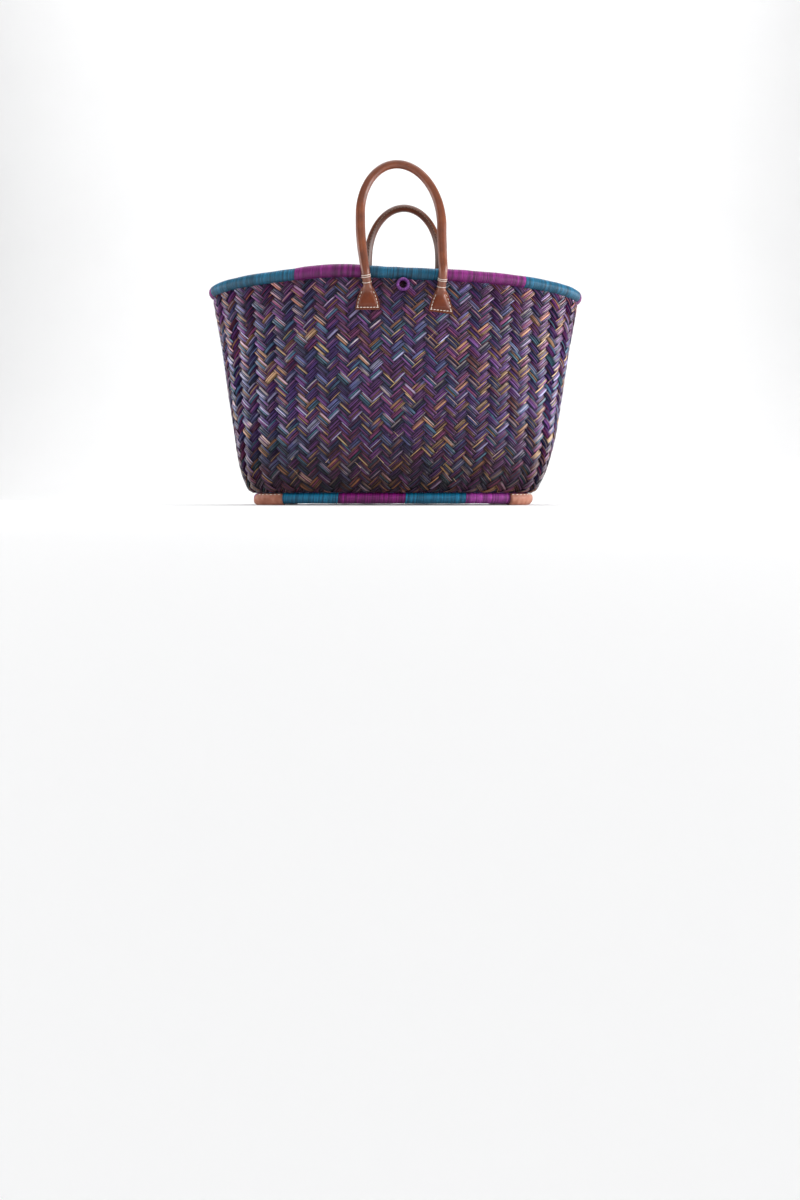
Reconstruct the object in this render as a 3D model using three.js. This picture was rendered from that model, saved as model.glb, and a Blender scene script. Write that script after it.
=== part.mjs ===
// Straw basket bag: a plaited straw basket with a flat bottom, a raffia-bound rim, a raffia-bound
// foot ring with leather corners, two rolled leather handles and a raffia-wrapped closure ring.
// Millimetres, +Z up. The origin is on the ground under the middle of the basket, and the front faces -Y.
import * as THREE from "three";

// Driving dimensions
const GAP = 0.3; // clearance between pieces that touch on the real bag
const STATIONS = 86; // points round the basket
const BODY_ROWS = 12; // rows of facets up the wall
const WALL = 2.4; // two layers of plaited straw

// The outer face of the basket, from the bottom edge to the rim.
// Squareness 2 is an oval and 4 a rounded rectangle.
const BASKET = [
  { height: 16.2, half_width: 184.0, half_depth: 78.5, squareness: 4.4 },
  { height: 19.0, half_width: 189.0, half_depth: 82.0, squareness: 4.4 },
  { height: 31.0, half_width: 196.0, half_depth: 87.5, squareness: 4.1 },
  { height: 47.0, half_width: 202.5, half_depth: 91.5, squareness: 3.7 },
  { height: 80.0, half_width: 211.0, half_depth: 95.0, squareness: 3.1 },
  { height: 140.0, half_width: 221.5, half_depth: 98.5, squareness: 2.6 },
  { height: 210.0, half_width: 232.0, half_depth: 100.4, squareness: 2.25 },
  { height: 280.0, half_width: 244.0, half_depth: 101.0, squareness: 2.05 },
  { height: 290.0, half_width: 244.0, half_depth: 101.0, squareness: 2.05 },
];
const BOTTOM_INSET = 4; // from the bottom's edge to where the flat plait of the bottom ends
const BASE_SHIFT = -4; // the bottom sits a little to the left of the mouth
const SHIFT_TOP = 110; // no shift from this height up
const RIM_HEIGHT = BASKET.at(-1).height;
const RIM_END_DROP = 10; // the two ends of the rim hang lower than its long sides
const RIM_LEAN = 3.2; // the left end stands higher than the right
const RIM_SWELL = { x: -75, rise: 4, half_length: 60 }; // and one stretch rises in a low wave

// Rim binding: raffia wound over the wall's edge in runs of two colours
const RIM_HALF_THICK = 7.2;
const RIM_HALF_TALL = 7.6;
const RIM_SIDES = 10;
const RIM_START = -262; // where the first run starts, along the rim from the middle of the front
const RIM_RUNS = [
  { colour: "teal", length: 135 },
  { colour: "magenta", length: 92 },
  { colour: "teal", length: 95 },
  { colour: "magenta", length: 107 },
  { colour: "teal", length: 98 },
  { colour: "magenta", length: 86 },
  { colour: "teal", length: 88 },
  { colour: "magenta", length: 84 },
  { colour: "teal", length: 90 },
  { colour: "magenta", length: 85 },
  { colour: "teal", length: 86 },
  { colour: "magenta", length: Infinity }, // what is left
];

// Foot ring: raffia wound round a bundle under the basket's edge
const FOOT = { half_width: 176.5, half_depth: 71, squareness: 4.5 };
const FOOT_RADIUS = 7.2;
const FOOT_STATIONS = 52; // closer together round the corners
const FOOT_SIDES = 10;
const FOOT_START = -172;
const FOOT_RUNS = [
  { colour: "teal", length: 103 },
  { colour: "magenta", length: 86 },
  { colour: "teal", length: 77 },
  { colour: "orchid", length: 78 },
  { colour: "magenta", length: 116 },
  { colour: "teal", length: 92 },
  { colour: "magenta", length: 82 },
  { colour: "teal", length: 78 },
  { colour: "orchid", length: 92 },
  { colour: "magenta", length: Infinity },
];

// Leather corners: sleeves round the foot ring, open along the top, that the bag stands on
const CORNER_LENGTH = 48;
const CORNER_CENTRES = [-163, 174, 288, -289]; // along the foot ring from the middle of the front
const CORNER_THICK = 2.0;
const CORNER_WORN = 0.8; // flattened underneath
const CORNER_OPEN = THREE.MathUtils.degToRad(48); // each side of the top
const CORNER_ARC_POINTS = 12;
const FOOT_HEIGHT = FOOT_RADIUS + GAP + CORNER_THICK - CORNER_WORN; // of the ring's centreline

// Handles: a strip of leather rolled round a cord, opening out into a sewn tab at each end
const HANDLE_CENTRE_X = 9;
const HANDLE_DIAMETER = 10.5;
const HANDLE_SIDES = 10;
const LEFT_LEG_X = -45.5; // the legs where they cross the rim, from the handle's own middle
const RIGHT_LEG_X = 51;
const LEFT_TAB_X = -43;
const RIGHT_TAB_X = 48.5;
const ARCH_SHIFT = -1.5;
const ARCH_SKEW = { handle_front: 5, handle_back: 0.5 }; // the top leans to the left of the shoulders
const ARCH_HALF_WIDTH = 50.6;
const ARCH_RISE = 72;
const SHOULDER_HEIGHT = 355;
const APEX_OUT = 100; // from the middle of the bag
const ARCH_STEPS = 12;
const LEG_STEPS = 4;
const TAB_BOTTOM = 244.5;
const TAB_TOP = 275;
const TAB_WIDTH = 31;
const RIGHT_TAB_DROP = 3.5; // the right tab is sewn on a little lower
const TAB_EDGE = 2.0; // thickness of the flat leather
const TAB_STEPS = 4;

// Closure ring: a short tube wrapped in raffia
const RING_X = 10;
const RING_HEIGHT = 275.6;
const RING_OUTER_RADIUS = 8.2;
const RING_INNER_RADIUS = 4.0;
const RING_DEPTH = 9;
const RING_ROUNDING = 1.8;
const RING_SIDES = 14;

const COLOURS = {
  straw: "#54406b",
  teal: "#2b7f97",
  magenta: "#8d3a85",
  orchid: "#b04fb0",
  leather: "#96543a",
  corner_leather: "#b9785a",
};
const ROUGHNESS = { leather: 0.5, corner_leather: 0.6 };

function material(name) {
  return new THREE.MeshStandardMaterial({
    color: COLOURS[name],
    roughness: ROUGHNESS[name] ?? 0.85,
    metalness: 0,
  });
}

// Plan curves

// The point of a superellipse that lies a fraction of a turn from the middle of the front (-Y) towards +X.
function turnedPoint({ half_width, half_depth, squareness }, fraction) {
  const across = Math.sin(2 * Math.PI * fraction);
  const along = -Math.cos(2 * Math.PI * fraction);
  return new THREE.Vector2(
    half_width * Math.sign(across) * Math.abs(across) ** (2 / squareness),
    half_depth * Math.sign(along) * Math.abs(along) ** (2 / squareness),
  );
}

// The same curve with the fraction measured along its length.
function evenCurve(section) {
  const fine = 720;
  const points = [];
  for (let i = 0; i < fine; i++) points.push(turnedPoint(section, i / fine));
  const lengths = [0];
  for (let i = 0; i < fine; i++) {
    lengths.push(lengths[i] + points[i].distanceTo(points[(i + 1) % fine]));
  }
  return (fraction) => {
    const target = THREE.MathUtils.euclideanModulo(fraction, 1) * lengths[fine];
    let i = 0;
    while (lengths[i + 1] < target) i++;
    const part = (target - lengths[i]) / (lengths[i + 1] - lengths[i]);
    return points[i].clone().lerp(points[(i + 1) % fine], part);
  };
}

// The value of one column of the basket's table, on a smooth curve that never overshoots the rows.
function column(name, row) {
  const last = BASKET.length - 1;
  const i = Math.min(Math.floor(row), last - 1);
  const f = row - i;
  const value = (k) => BASKET[THREE.MathUtils.clamp(k, 0, last)][name];
  const slope = (k) => {
    const before = value(k) - value(k - 1);
    const after = value(k + 1) - value(k);
    return before * after > 0 ? (2 * before * after) / (before + after) : 0;
  };
  const rise = value(i + 1) - value(i);
  return (
    value(i) +
    f * slope(i) +
    f * f * (3 * rise - 2 * slope(i) - slope(i + 1)) +
    f * f * f * (slope(i) + slope(i + 1) - 2 * rise)
  );
}

function sectionAt(row) {
  return {
    height: column("height", row),
    half_width: column("half_width", row),
    half_depth: column("half_depth", row),
    squareness: column("squareness", row),
  };
}

// How far the drooping, leaning rim moves a point of the wall up or down.
function rimShift(x, height) {
  const end = x / BASKET.at(-1).half_width;
  const share = THREE.MathUtils.smoothstep(height, 0, RIM_HEIGHT);
  const drop = (RIM_END_DROP * (end ** 2 + end ** 4)) / 2 + RIM_LEAN * end;
  const swell = RIM_SWELL.rise * Math.exp(-(((x - RIM_SWELL.x) / RIM_SWELL.half_length) ** 2));
  return share * (swell - drop);
}

// How far the bottom's offset moves a point of the basket sideways.
function baseShift(height) {
  return BASE_SHIFT * (1 - THREE.MathUtils.smoothstep(height, 0, SHIFT_TOP));
}

// One level of the wall: a function from the fraction of the way round to a point of the outer face.
function wallLevel(row) {
  const section = sectionAt(row);
  const plan = evenCurve(section);
  return (fraction) => {
    const p = plan(fraction);
    const up = rimShift(p.x, section.height);
    return new THREE.Vector3(p.x + baseShift(section.height), p.y, section.height + up);
  };
}

// The table row whose level has this height at a given x.
function rowAtHeight(x, height) {
  let low = 0;
  let high = BASKET.length - 1;
  for (let i = 0; i < 40; i++) {
    const middle = (low + high) / 2;
    const level = column("height", middle);
    if (level + rimShift(x, level) < height) low = middle;
    else high = middle;
  }
  return (low + high) / 2;
}

// The point of the outer face at x and height, on the front (side -1) or the back (side 1),
// and the way out from it.
function wallSeat(x, height, side) {
  const on = (px, pz) => {
    const { half_width, half_depth, squareness } = sectionAt(rowAtHeight(px, pz));
    const across = Math.abs(px / half_width) ** squareness;
    return new THREE.Vector3(px, side * half_depth * (1 - across) ** (1 / squareness), pz);
  };
  const point = on(x, height);
  const sideways = on(x + 1, height).sub(on(x - 1, height));
  const upwards = on(x, height + 1).sub(on(x, height - 1));
  const out = sideways.cross(upwards).normalize();
  if (out.y * side < 0) out.negate();
  return { point, out };
}

// Solids

// The faces between two loops of points that match one to one, given where each loop starts.
function band(from, to, count) {
  const index = [];
  for (let j = 0; j < count; j++) {
    const next = (j + 1) % count;
    index.push(from + j, from + next, to + next, from + j, to + next, to + j);
  }
  return index;
}

// A closed solid through matching loops. Flat is the first loop in 2D, anticlockwise: it closes the two ends.
// With no flat, the last loop joins the first.
function loft(loops, flat) {
  const count = loops[0].length;
  const positions = loops.flat().flatMap((p) => [p.x, p.y, p.z]);
  const end = (loops.length - 1) * count;
  const index = [];
  for (let start = 0; start < end; start += count) {
    index.push(...band(start, start + count, count));
  }
  if (flat) {
    for (const [a, b, c] of THREE.ShapeUtils.triangulateShape(flat, [])) {
      index.push(c, b, a, end + a, end + b, end + c);
    }
  } else {
    index.push(...band(end, 0, count));
  }
  const geometry = new THREE.BufferGeometry();
  geometry.setAttribute("position", new THREE.Float32BufferAttribute(positions, 3));
  geometry.setIndex(index);
  return facingOut(geometry);
}

// Turns the faces round if they enclose a negative volume.
function facingOut(geometry) {
  const { position } = geometry.attributes;
  const index = geometry.index.array;
  const corner = (i) => new THREE.Vector3().fromBufferAttribute(position, index[i]);
  let volume = 0;
  for (let i = 0; i < index.length; i += 3) {
    volume += corner(i).dot(corner(i + 1).cross(corner(i + 2)));
  }
  if (volume < 0) {
    for (let i = 0; i < index.length; i += 3) {
      [index[i], index[i + 1]] = [index[i + 1], index[i]];
    }
  }
  geometry.computeVertexNormals();
  return geometry;
}

function piece(name, geometry, colour) {
  const mesh = new THREE.Mesh(geometry, material(colour));
  mesh.name = name;
  return mesh;
}

// A ring of stations round the bag, each with its centre and its level way out, for pieces that run along it.
function ringPath(pointAt, count) {
  const stations = [];
  for (let k = 0; k < count; k++) {
    const centre = pointAt(k / count);
    const ahead = pointAt((k + 0.5) / count);
    const behind = pointAt((k - 0.5) / count);
    const along = ahead.sub(behind);
    const out = new THREE.Vector3(along.y, -along.x, 0).normalize();
    stations.push({ centre, out });
  }
  const lengths = [0];
  for (let k = 0; k < count; k++) {
    const next = stations[(k + 1) % count].centre;
    lengths.push(lengths[k] + stations[k].centre.distanceTo(next));
  }
  return { stations, lengths, total: lengths[count] };
}

// The stations of the stretch from one distance to another, with its ends cut on the straight
// between two stations.
function stretch(path, from, to) {
  const { stations, lengths, total } = path;
  const cut = (distance) => {
    const target = THREE.MathUtils.euclideanModulo(distance, total);
    let k = 0;
    while (lengths[k + 1] < target) k++;
    const part = (target - lengths[k]) / (lengths[k + 1] - lengths[k]);
    const next = stations[(k + 1) % stations.length];
    return {
      centre: stations[k].centre.clone().lerp(next.centre, part),
      out: stations[k].out.clone().lerp(next.out, part).normalize(),
    };
  };
  const inner = [];
  for (let turn = -1; turn <= 1; turn++) {
    stations.forEach((station, k) => {
      const distance = lengths[k] + turn * total;
      if (distance > from + GAP && distance < to - GAP) inner.push({ distance, station });
    });
  }
  inner.sort((a, b) => a.distance - b.distance);
  return [cut(from), ...inner.map((i) => i.station), cut(to)];
}

// A solid with one outline (x out from the bag, y up) along a stretch of a ring.
function alongRing(path, from, to, outline) {
  const loops = stretch(path, from, to).map(({ centre, out }) =>
    outline.map((p) =>
      centre
        .clone()
        .addScaledVector(out, p.x)
        .add(new THREE.Vector3(0, 0, p.y)),
    ),
  );
  return loft(loops, outline);
}

// Runs of colour laid end to end round a ring: each run's name, colour and two ends.
function runsAlong(table, start, total, prefix) {
  const runs = [];
  let from = start;
  table.forEach(({ colour, length }, i) => {
    const to = Math.min(from + length, start + total);
    const number = String(i + 1).padStart(2, "0");
    runs.push({ name: `${prefix}_${number}`, colour, from: from + GAP / 2, to: to - GAP / 2 });
    from = to;
  });
  return runs;
}

// The bottom's outline, drawn in from its edge, at the under or the upper face of the plait.
function bottomLoop(inset, height, count) {
  const { half_width, half_depth, squareness } = BASKET[0];
  const section = { half_width: half_width - inset, half_depth: half_depth - inset, squareness };
  const plan = evenCurve(section);
  const loop = [];
  for (let k = 0; k < count; k++) {
    const p = plan(k / count);
    loop.push(new THREE.Vector3(p.x + baseShift(BASKET[0].height), p.y, height));
  }
  return loop;
}

// The flat plait of the bottom, inside the turned edge of the wall.
function basketBottom() {
  const low = BASKET[0].height;
  const loops = [low, low + WALL].map((height) => bottomLoop(BOTTOM_INSET, height, STATIONS / 2));
  const flat = loops[0].map((p) => new THREE.Vector2(p.x, p.y));
  return piece("basket_bottom", loft(loops, flat), "straw");
}

// The wall: from the edge of the bottom up the outer face, over the top and down the inner face.
function basketBody() {
  const last = BASKET.length - 1;
  const outer = [];
  const inner = [];
  for (let r = 0; r <= BODY_ROWS; r++) {
    const row = (last * r) / BODY_ROWS;
    const level = wallLevel(row);
    const above = wallLevel(Math.min(row + 0.02, last));
    const below = wallLevel(Math.max(row - 0.02, 0));
    const outerLoop = [];
    const innerLoop = [];
    for (let k = 0; k < STATIONS; k++) {
      const fraction = k / STATIONS;
      const point = level(fraction);
      const along = level(fraction + 0.5 / STATIONS).sub(level(fraction - 0.5 / STATIONS));
      const up = above(fraction).sub(below(fraction));
      const out = along.cross(up).normalize();
      if (r === 0) out.set(0, 0, -1);
      if (r === BODY_ROWS) out.setZ(0).normalize();
      outerLoop.push(point);
      innerLoop.push(point.clone().addScaledVector(out, -WALL));
    }
    outer.push(outerLoop);
    inner.push(innerLoop);
  }
  const low = BASKET[0].height;
  const lip = BOTTOM_INSET - GAP;
  const under = bottomLoop(lip, low, STATIONS);
  const over = bottomLoop(lip, low + WALL, STATIONS);
  return piece("basket_body", loft([under, ...outer, ...inner.reverse(), over]), "straw");
}

// The rim binding's section: an oval with a slot from below for the wall's edge.
function rimOutline() {
  const slot = WALL / 2 + GAP;
  const start = Math.asin(slot / RIM_HALF_THICK);
  const outline = [];
  for (let i = 0; i < RIM_SIDES; i++) {
    const angle = start + ((2 * Math.PI - 2 * start) * i) / (RIM_SIDES - 1);
    outline.push(new THREE.Vector2(RIM_HALF_THICK * Math.sin(angle), -RIM_HALF_TALL * Math.cos(angle)));
  }
  outline.push(new THREE.Vector2(-slot, GAP), new THREE.Vector2(slot, GAP));
  return outline;
}

// The centreline of the rim binding: the middle of the wall's top edge.
function rimPath() {
  const path = ringPath(wallLevel(BASKET.length - 1), STATIONS);
  for (const { centre, out } of path.stations) centre.addScaledVector(out, -WALL / 2);
  return path;
}

function rimWraps() {
  const path = rimPath();
  const outline = rimOutline();
  return runsAlong(RIM_RUNS, RIM_START, path.total, "rim_wrap").map(({ name, colour, from, to }) =>
    piece(name, alongRing(path, from, to, outline), colour),
  );
}

function footPath() {
  return ringPath((fraction) => {
    const p = turnedPoint(FOOT, fraction);
    return new THREE.Vector3(p.x + baseShift(FOOT_HEIGHT), p.y, FOOT_HEIGHT);
  }, FOOT_STATIONS);
}

function footWraps(path) {
  const outline = [];
  for (let i = 0; i < FOOT_SIDES; i++) {
    const angle = (2 * Math.PI * (i + 0.5)) / FOOT_SIDES;
    outline.push(new THREE.Vector2(FOOT_RADIUS * Math.cos(angle), FOOT_RADIUS * Math.sin(angle)));
  }
  return runsAlong(FOOT_RUNS, FOOT_START, path.total, "foot_wrap").map(({ name, colour, from, to }) =>
    piece(name, alongRing(path, from, to, outline), colour),
  );
}

// The leather corner's section: a thick arc round the foot ring, flattened where it stands on the ground.
function cornerOutline() {
  const inside = FOOT_RADIUS + GAP;
  const outside = inside + CORNER_THICK;
  const outer = [];
  const inner = [];
  for (let i = 0; i < CORNER_ARC_POINTS; i++) {
    const turn = (2 * Math.PI - 2 * CORNER_OPEN) * (i / (CORNER_ARC_POINTS - 1));
    const angle = CORNER_OPEN + turn;
    const y = Math.max(outside * Math.cos(angle), CORNER_WORN - outside);
    outer.push(new THREE.Vector2(-outside * Math.sin(angle), y));
    inner.push(new THREE.Vector2(-inside * Math.sin(angle), inside * Math.cos(angle)));
  }
  return [...outer, ...inner.reverse()];
}

function cornerCaps(path) {
  const outline = cornerOutline();
  return CORNER_CENTRES.map((centre, i) => {
    const from = centre - CORNER_LENGTH / 2;
    const geometry = alongRing(path, from, from + CORNER_LENGTH, outline);
    return piece(`corner_cap_${i + 1}`, geometry, "corner_leather");
  });
}

// Handles

// One station of a handle. Spread is 1 at a tab's lower edge and 0 where the leather is a round roll.
function handleStation(centre, out, spread) {
  const width = THREE.MathUtils.lerp(HANDLE_DIAMETER, TAB_WIDTH, spread);
  const thick = tabThickness(spread);
  return { centre, out, width, thick, spread };
}

function tabThickness(spread) {
  return THREE.MathUtils.lerp(HANDLE_DIAMETER, TAB_EDGE + 1, spread ** 0.6);
}

// A handle's own x on the bag. The back handle is the front one turned half round its own middle.
function handleX(x, side) {
  return HANDLE_CENTRE_X - side * x;
}

// How far out the legs cross the rim binding.
function crossingOut() {
  const { point } = wallSeat(HANDLE_CENTRE_X + LEFT_LEG_X, RIM_HEIGHT - RIM_HALF_TALL, -1);
  return -point.y + RIM_HALF_THICK - WALL / 2 + 3 * GAP + HANDLE_DIAMETER / 2;
}

// A station above the rim, where the handle leans in towards its apex.
function archStation(x, height, side) {
  const apex = SHOULDER_HEIGHT + ARCH_RISE;
  const lean = (height - RIM_HEIGHT) / (apex - RIM_HEIGHT);
  const y = side * THREE.MathUtils.lerp(crossingOut(), APEX_OUT, lean);
  const centre = new THREE.Vector3(handleX(x, side), y, height);
  return handleStation(centre, new THREE.Vector3(0, side, 0), 0);
}

// Stations up one leg, from the tab's lower edge to just short of the shoulder.
function legStations(tabX, tabDrop, legX, shoulderX, side) {
  const stations = [];
  for (let i = 0; i <= TAB_STEPS; i++) {
    const spread = 1 - i / TAB_STEPS;
    const height = THREE.MathUtils.lerp(TAB_TOP, TAB_BOTTOM, spread) - tabDrop;
    const { point, out } = wallSeat(handleX(tabX, side), height, side);
    const centre = point.addScaledVector(out, 2 * GAP + tabThickness(spread) / 2);
    stations.push(handleStation(centre, out, spread));
  }
  for (let i = 0; i < LEG_STEPS; i++) {
    const part = i / LEG_STEPS;
    const height = THREE.MathUtils.lerp(RIM_HEIGHT, SHOULDER_HEIGHT, part);
    const x = THREE.MathUtils.lerp(legX, shoulderX, Math.sin((part * Math.PI) / 2));
    stations.push(archStation(x, height, side));
  }
  return stations;
}

function handle(name, side) {
  const left = legStations(LEFT_TAB_X, 0, LEFT_LEG_X, ARCH_SHIFT - ARCH_HALF_WIDTH, side);
  const right = legStations(RIGHT_TAB_X, RIGHT_TAB_DROP, RIGHT_LEG_X, ARCH_SHIFT + ARCH_HALF_WIDTH, side);
  const arch = [];
  for (let i = 0; i <= ARCH_STEPS; i++) {
    const angle = Math.PI * (1 - i / ARCH_STEPS);
    const x = ARCH_SHIFT + ARCH_HALF_WIDTH * Math.cos(angle) - ARCH_SKEW[name] * Math.sin(angle);
    const height = SHOULDER_HEIGHT + ARCH_RISE * Math.sin(angle);
    arch.push(archStation(x, height, side));
  }
  const stations = [...left, ...arch, ...right.reverse()];
  const loops = stations.map((station, i) => {
    const ahead = stations[Math.min(i + 1, stations.length - 1)].centre;
    const behind = stations[Math.max(i - 1, 0)].centre;
    const along = ahead.clone().sub(behind).normalize();
    const out = station.out.clone().addScaledVector(along, -station.out.dot(along)).normalize();
    const across = along.clone().cross(out);
    return handleOutline(station).map((p) =>
      station.centre.clone().addScaledVector(across, p.x).addScaledVector(out, p.y),
    );
  });
  return piece(name, loft(loops, handleOutline(stations[0])), "leather");
}

// A handle's section: a circle for the roll, spreading to a flat tab with a low ridge along its middle.
function handleOutline({ width, thick, spread }) {
  const squareness = THREE.MathUtils.lerp(2, 3.2, spread);
  const outline = [];
  for (let i = 0; i < HANDLE_SIDES; i++) {
    const angle = (2 * Math.PI * i) / HANDLE_SIDES;
    const c = Math.cos(angle);
    const s = Math.sin(angle);
    outline.push(
      new THREE.Vector2(
        (width / 2) * Math.sign(c) * Math.abs(c) ** (2 / squareness),
        (thick / 2) * Math.sign(s) * Math.abs(s) ** (2 / squareness),
      ),
    );
  }
  return outline;
}

// The closure ring stands on the front of the basket, with its hole facing out.
function closureRing() {
  const half = RING_DEPTH / 2;
  const r = RING_ROUNDING;
  const profile = [
    new THREE.Vector2(RING_INNER_RADIUS, -half + r),
    new THREE.Vector2(RING_INNER_RADIUS + r, -half),
    new THREE.Vector2(RING_OUTER_RADIUS - r, -half),
    new THREE.Vector2(RING_OUTER_RADIUS, -half + r),
    new THREE.Vector2(RING_OUTER_RADIUS, half - r),
    new THREE.Vector2(RING_OUTER_RADIUS - r, half),
    new THREE.Vector2(RING_INNER_RADIUS + r, half),
    new THREE.Vector2(RING_INNER_RADIUS, half - r),
    new THREE.Vector2(RING_INNER_RADIUS, -half + r),
  ];
  const ring = piece("closure_ring", new THREE.LatheGeometry(profile, RING_SIDES), "magenta");
  const { point, out } = wallSeat(RING_X, RING_HEIGHT, -1);
  ring.position.copy(point).addScaledVector(out, half + 2 * GAP);
  ring.quaternion.setFromUnitVectors(new THREE.Vector3(0, 1, 0), out);
  return ring;
}

const foot = footPath();
const bag = new THREE.Group();
bag.add(
  basketBody(),
  basketBottom(),
  ...rimWraps(),
  ...footWraps(foot),
  ...cornerCaps(foot),
  handle("handle_front", -1),
  handle("handle_back", 1),
  closureRing(),
);

export default bag;
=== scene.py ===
# %% [markdown]
# # A plaited straw bag
# A wide straw basket with a wound raffia rim, a wound foot ring with leather corners, and two rolled
# leather handles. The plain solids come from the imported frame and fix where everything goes. Each step
# below lays the real material over one of them: straw by straw, winding by winding, stitch by stitch.

import math

import bpy
import numpy as np
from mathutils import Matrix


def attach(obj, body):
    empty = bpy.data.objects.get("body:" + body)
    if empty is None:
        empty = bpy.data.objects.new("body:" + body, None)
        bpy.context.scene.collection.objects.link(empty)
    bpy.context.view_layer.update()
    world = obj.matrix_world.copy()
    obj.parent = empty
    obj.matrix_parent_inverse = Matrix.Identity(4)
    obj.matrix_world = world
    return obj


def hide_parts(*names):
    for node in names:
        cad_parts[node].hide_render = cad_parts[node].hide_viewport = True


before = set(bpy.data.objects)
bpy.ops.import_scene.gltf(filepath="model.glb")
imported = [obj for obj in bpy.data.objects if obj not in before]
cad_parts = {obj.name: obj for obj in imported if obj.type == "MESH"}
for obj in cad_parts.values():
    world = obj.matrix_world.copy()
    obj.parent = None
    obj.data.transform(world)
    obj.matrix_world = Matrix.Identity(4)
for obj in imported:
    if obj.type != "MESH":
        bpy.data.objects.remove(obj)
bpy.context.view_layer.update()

# %% [markdown]
# ## Tools for meshes
# Straws, windings, handles and stitches are all long thin things, so one mesh builder does for all:
# it skins rows of section points as closed tubes. Blender's own curves could be bevelled instead, but
# plain arrays let one call make hundreds of tubes, and let every point carry its own dye and painted
# light. That is three numbers of colour, the dye times any painted shade or painted sheen, and may have
# a fourth that tells how strongly that point shines.

# %% Closed tubes
def closed_tubes(rings):
    """Points and faces of closed tubes. rings: tubes x stations x sides x 3, anticlockwise from ahead."""
    tubes, stations, sides = rings.shape[:3]
    index = np.arange(tubes * stations * sides).reshape(tubes, stations, sides)
    near, far = index[:, :-1], index[:, 1:]
    walls = np.stack([near, np.roll(near, -1, 2), np.roll(far, -1, 2), far], -1).reshape(-1, 4)
    ends = np.concatenate([index[:, 0, ::-1], index[:, -1]])
    return rings.reshape(-1, 3), walls.tolist() + ends.tolist()


def merged(parts):
    """One list of points, faces, dyes and grains out of several."""
    faces, start = [], 0
    for part in parts:
        faces += [[corner + start for corner in face] for face in part["faces"]]
        start += len(part["points"])
    joined = {key: np.concatenate([part[key] for part in parts]) for key in ("points", "dye_and_light", "grain")}
    return dict(joined, faces=faces)


# %% Pieces of the bag
MM = 0.001


def add_piece(name, part, material, nodes):
    """A smooth mesh from millimetres. It rides on the bag's one body and stands for the given solids."""
    mesh = bpy.data.meshes.new(name)
    mesh.from_pydata((part["points"] * MM).tolist(), [], part["faces"])
    mesh.polygons.foreach_set("use_smooth", np.ones(len(mesh.polygons), dtype=bool))
    # the colour attribute: dye times any painted shade or painted sheen, with the shine as a fourth number
    dye_and_light = mesh.attributes.new("dye_and_light", "FLOAT_COLOR", "POINT")
    colours = np.ones((len(part["dye_and_light"]), 4))
    colours[:, :part["dye_and_light"].shape[1]] = part["dye_and_light"]
    dye_and_light.data.foreach_set("color", colours.ravel())
    grain = mesh.attributes.new("grain", "FLOAT_VECTOR", "POINT")
    grain.data.foreach_set("vector", part["grain"].ravel())
    mesh.materials.append(material)
    piece = bpy.data.objects.new(name, mesh)
    bpy.context.scene.collection.objects.link(piece)
    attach(piece, "root")
    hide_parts(*nodes)
    triangles = sum(len(face) - 2 for face in part["faces"])
    print(f"{name}: {len(part['points'])} points, {triangles} triangles")


# %% Directions and blends
def unit(vectors):
    return vectors / np.linalg.norm(vectors, axis=-1, keepdims=True)


def blend(a, b, share):
    return a + (b - a) * share


# %% [markdown]
# ## Tools for materials
# Colours are written as the sRGB hex values a colour picker shows, and turned to linear light once.
# A node tree is only nodes with settings and links, so one small function adds any of them.

# %% Colours and nodes
def linear(hex_colour):
    srgb = np.array([int(hex_colour[k:k + 2], 16) for k in (1, 3, 5)]) / 255
    return np.where(srgb <= 0.04045, srgb / 12.92, ((srgb + 0.055) / 1.055) ** 2.4)


def add_node(tree, kind, inputs, **settings):
    """Adds a node. An input is a value, or an output of another node to link."""
    node = tree.nodes.new(kind)
    for name, value in settings.items():
        setattr(node, name, value)
    for socket, value in inputs.items():
        if isinstance(value, bpy.types.NodeSocket):
            tree.links.new(value, node.inputs[socket])
        else:
            node.inputs[socket].default_value = value
    return node


def new_material(name, **constants):
    """A material, its node tree and its shader, with the shader's constants set on its own sockets."""
    material = bpy.data.materials.new(name)
    material.use_nodes = True
    shader = material.node_tree.nodes["Principled BSDF"]
    for socket, value in constants.items():
        shader.inputs[socket.replace("_", " ")].default_value = value
    return material, material.node_tree, shader


# %% [markdown]
# ## Dyed straw
# Each straw is a split stem of grass, dyed in a vat and left with its natural skin. The skin is waxy, so
# it has a satin gloss that lights up at the sides, and it is streaked lengthwise by its fibres. The dye
# comes from the points of the mesh and drifts between two colours along a straw. A picture of straw
# would be quick, but would repeat, so the fibres are noise stretched along the straw. They are about
# 0.3 mm wide on the real stem and drawn 0.7 mm wide, so that they still show.

# %% The straw material
FIBRE_MM = 0.7
FIBRE_LENGTH_MM = 22


def stretched_noise(tree, width, length, detail):
    """Noise in a piece's own grain: millimetres across, millimetres along, and a number for each strand."""
    grain = add_node(tree, "ShaderNodeAttribute", {}, attribute_name="grain")
    scaled = add_node(tree, "ShaderNodeVectorMath", {0: grain.outputs["Vector"],
                      1: (1 / width, 1 / length, 1)}, operation="MULTIPLY")
    return add_node(tree, "ShaderNodeTexNoise", {"Vector": scaled.outputs[0], "Scale": 1.0,
                    "Detail": detail, "Roughness": 0.6}).outputs["Fac"]


def shine_where_shown(tree, shader, dye_and_light, shine):
    """The dye's fourth number scales the shine: less in the gaps, which the lights hardly see."""
    shown = add_node(tree, "ShaderNodeMath", {0: dye_and_light.outputs["Alpha"], 1: shine}, operation="MULTIPLY")
    shader.inputs["Specular IOR Level"].default_value = shine
    tree.links.new(shown.outputs[0], shader.inputs["Specular IOR Level"])


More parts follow.
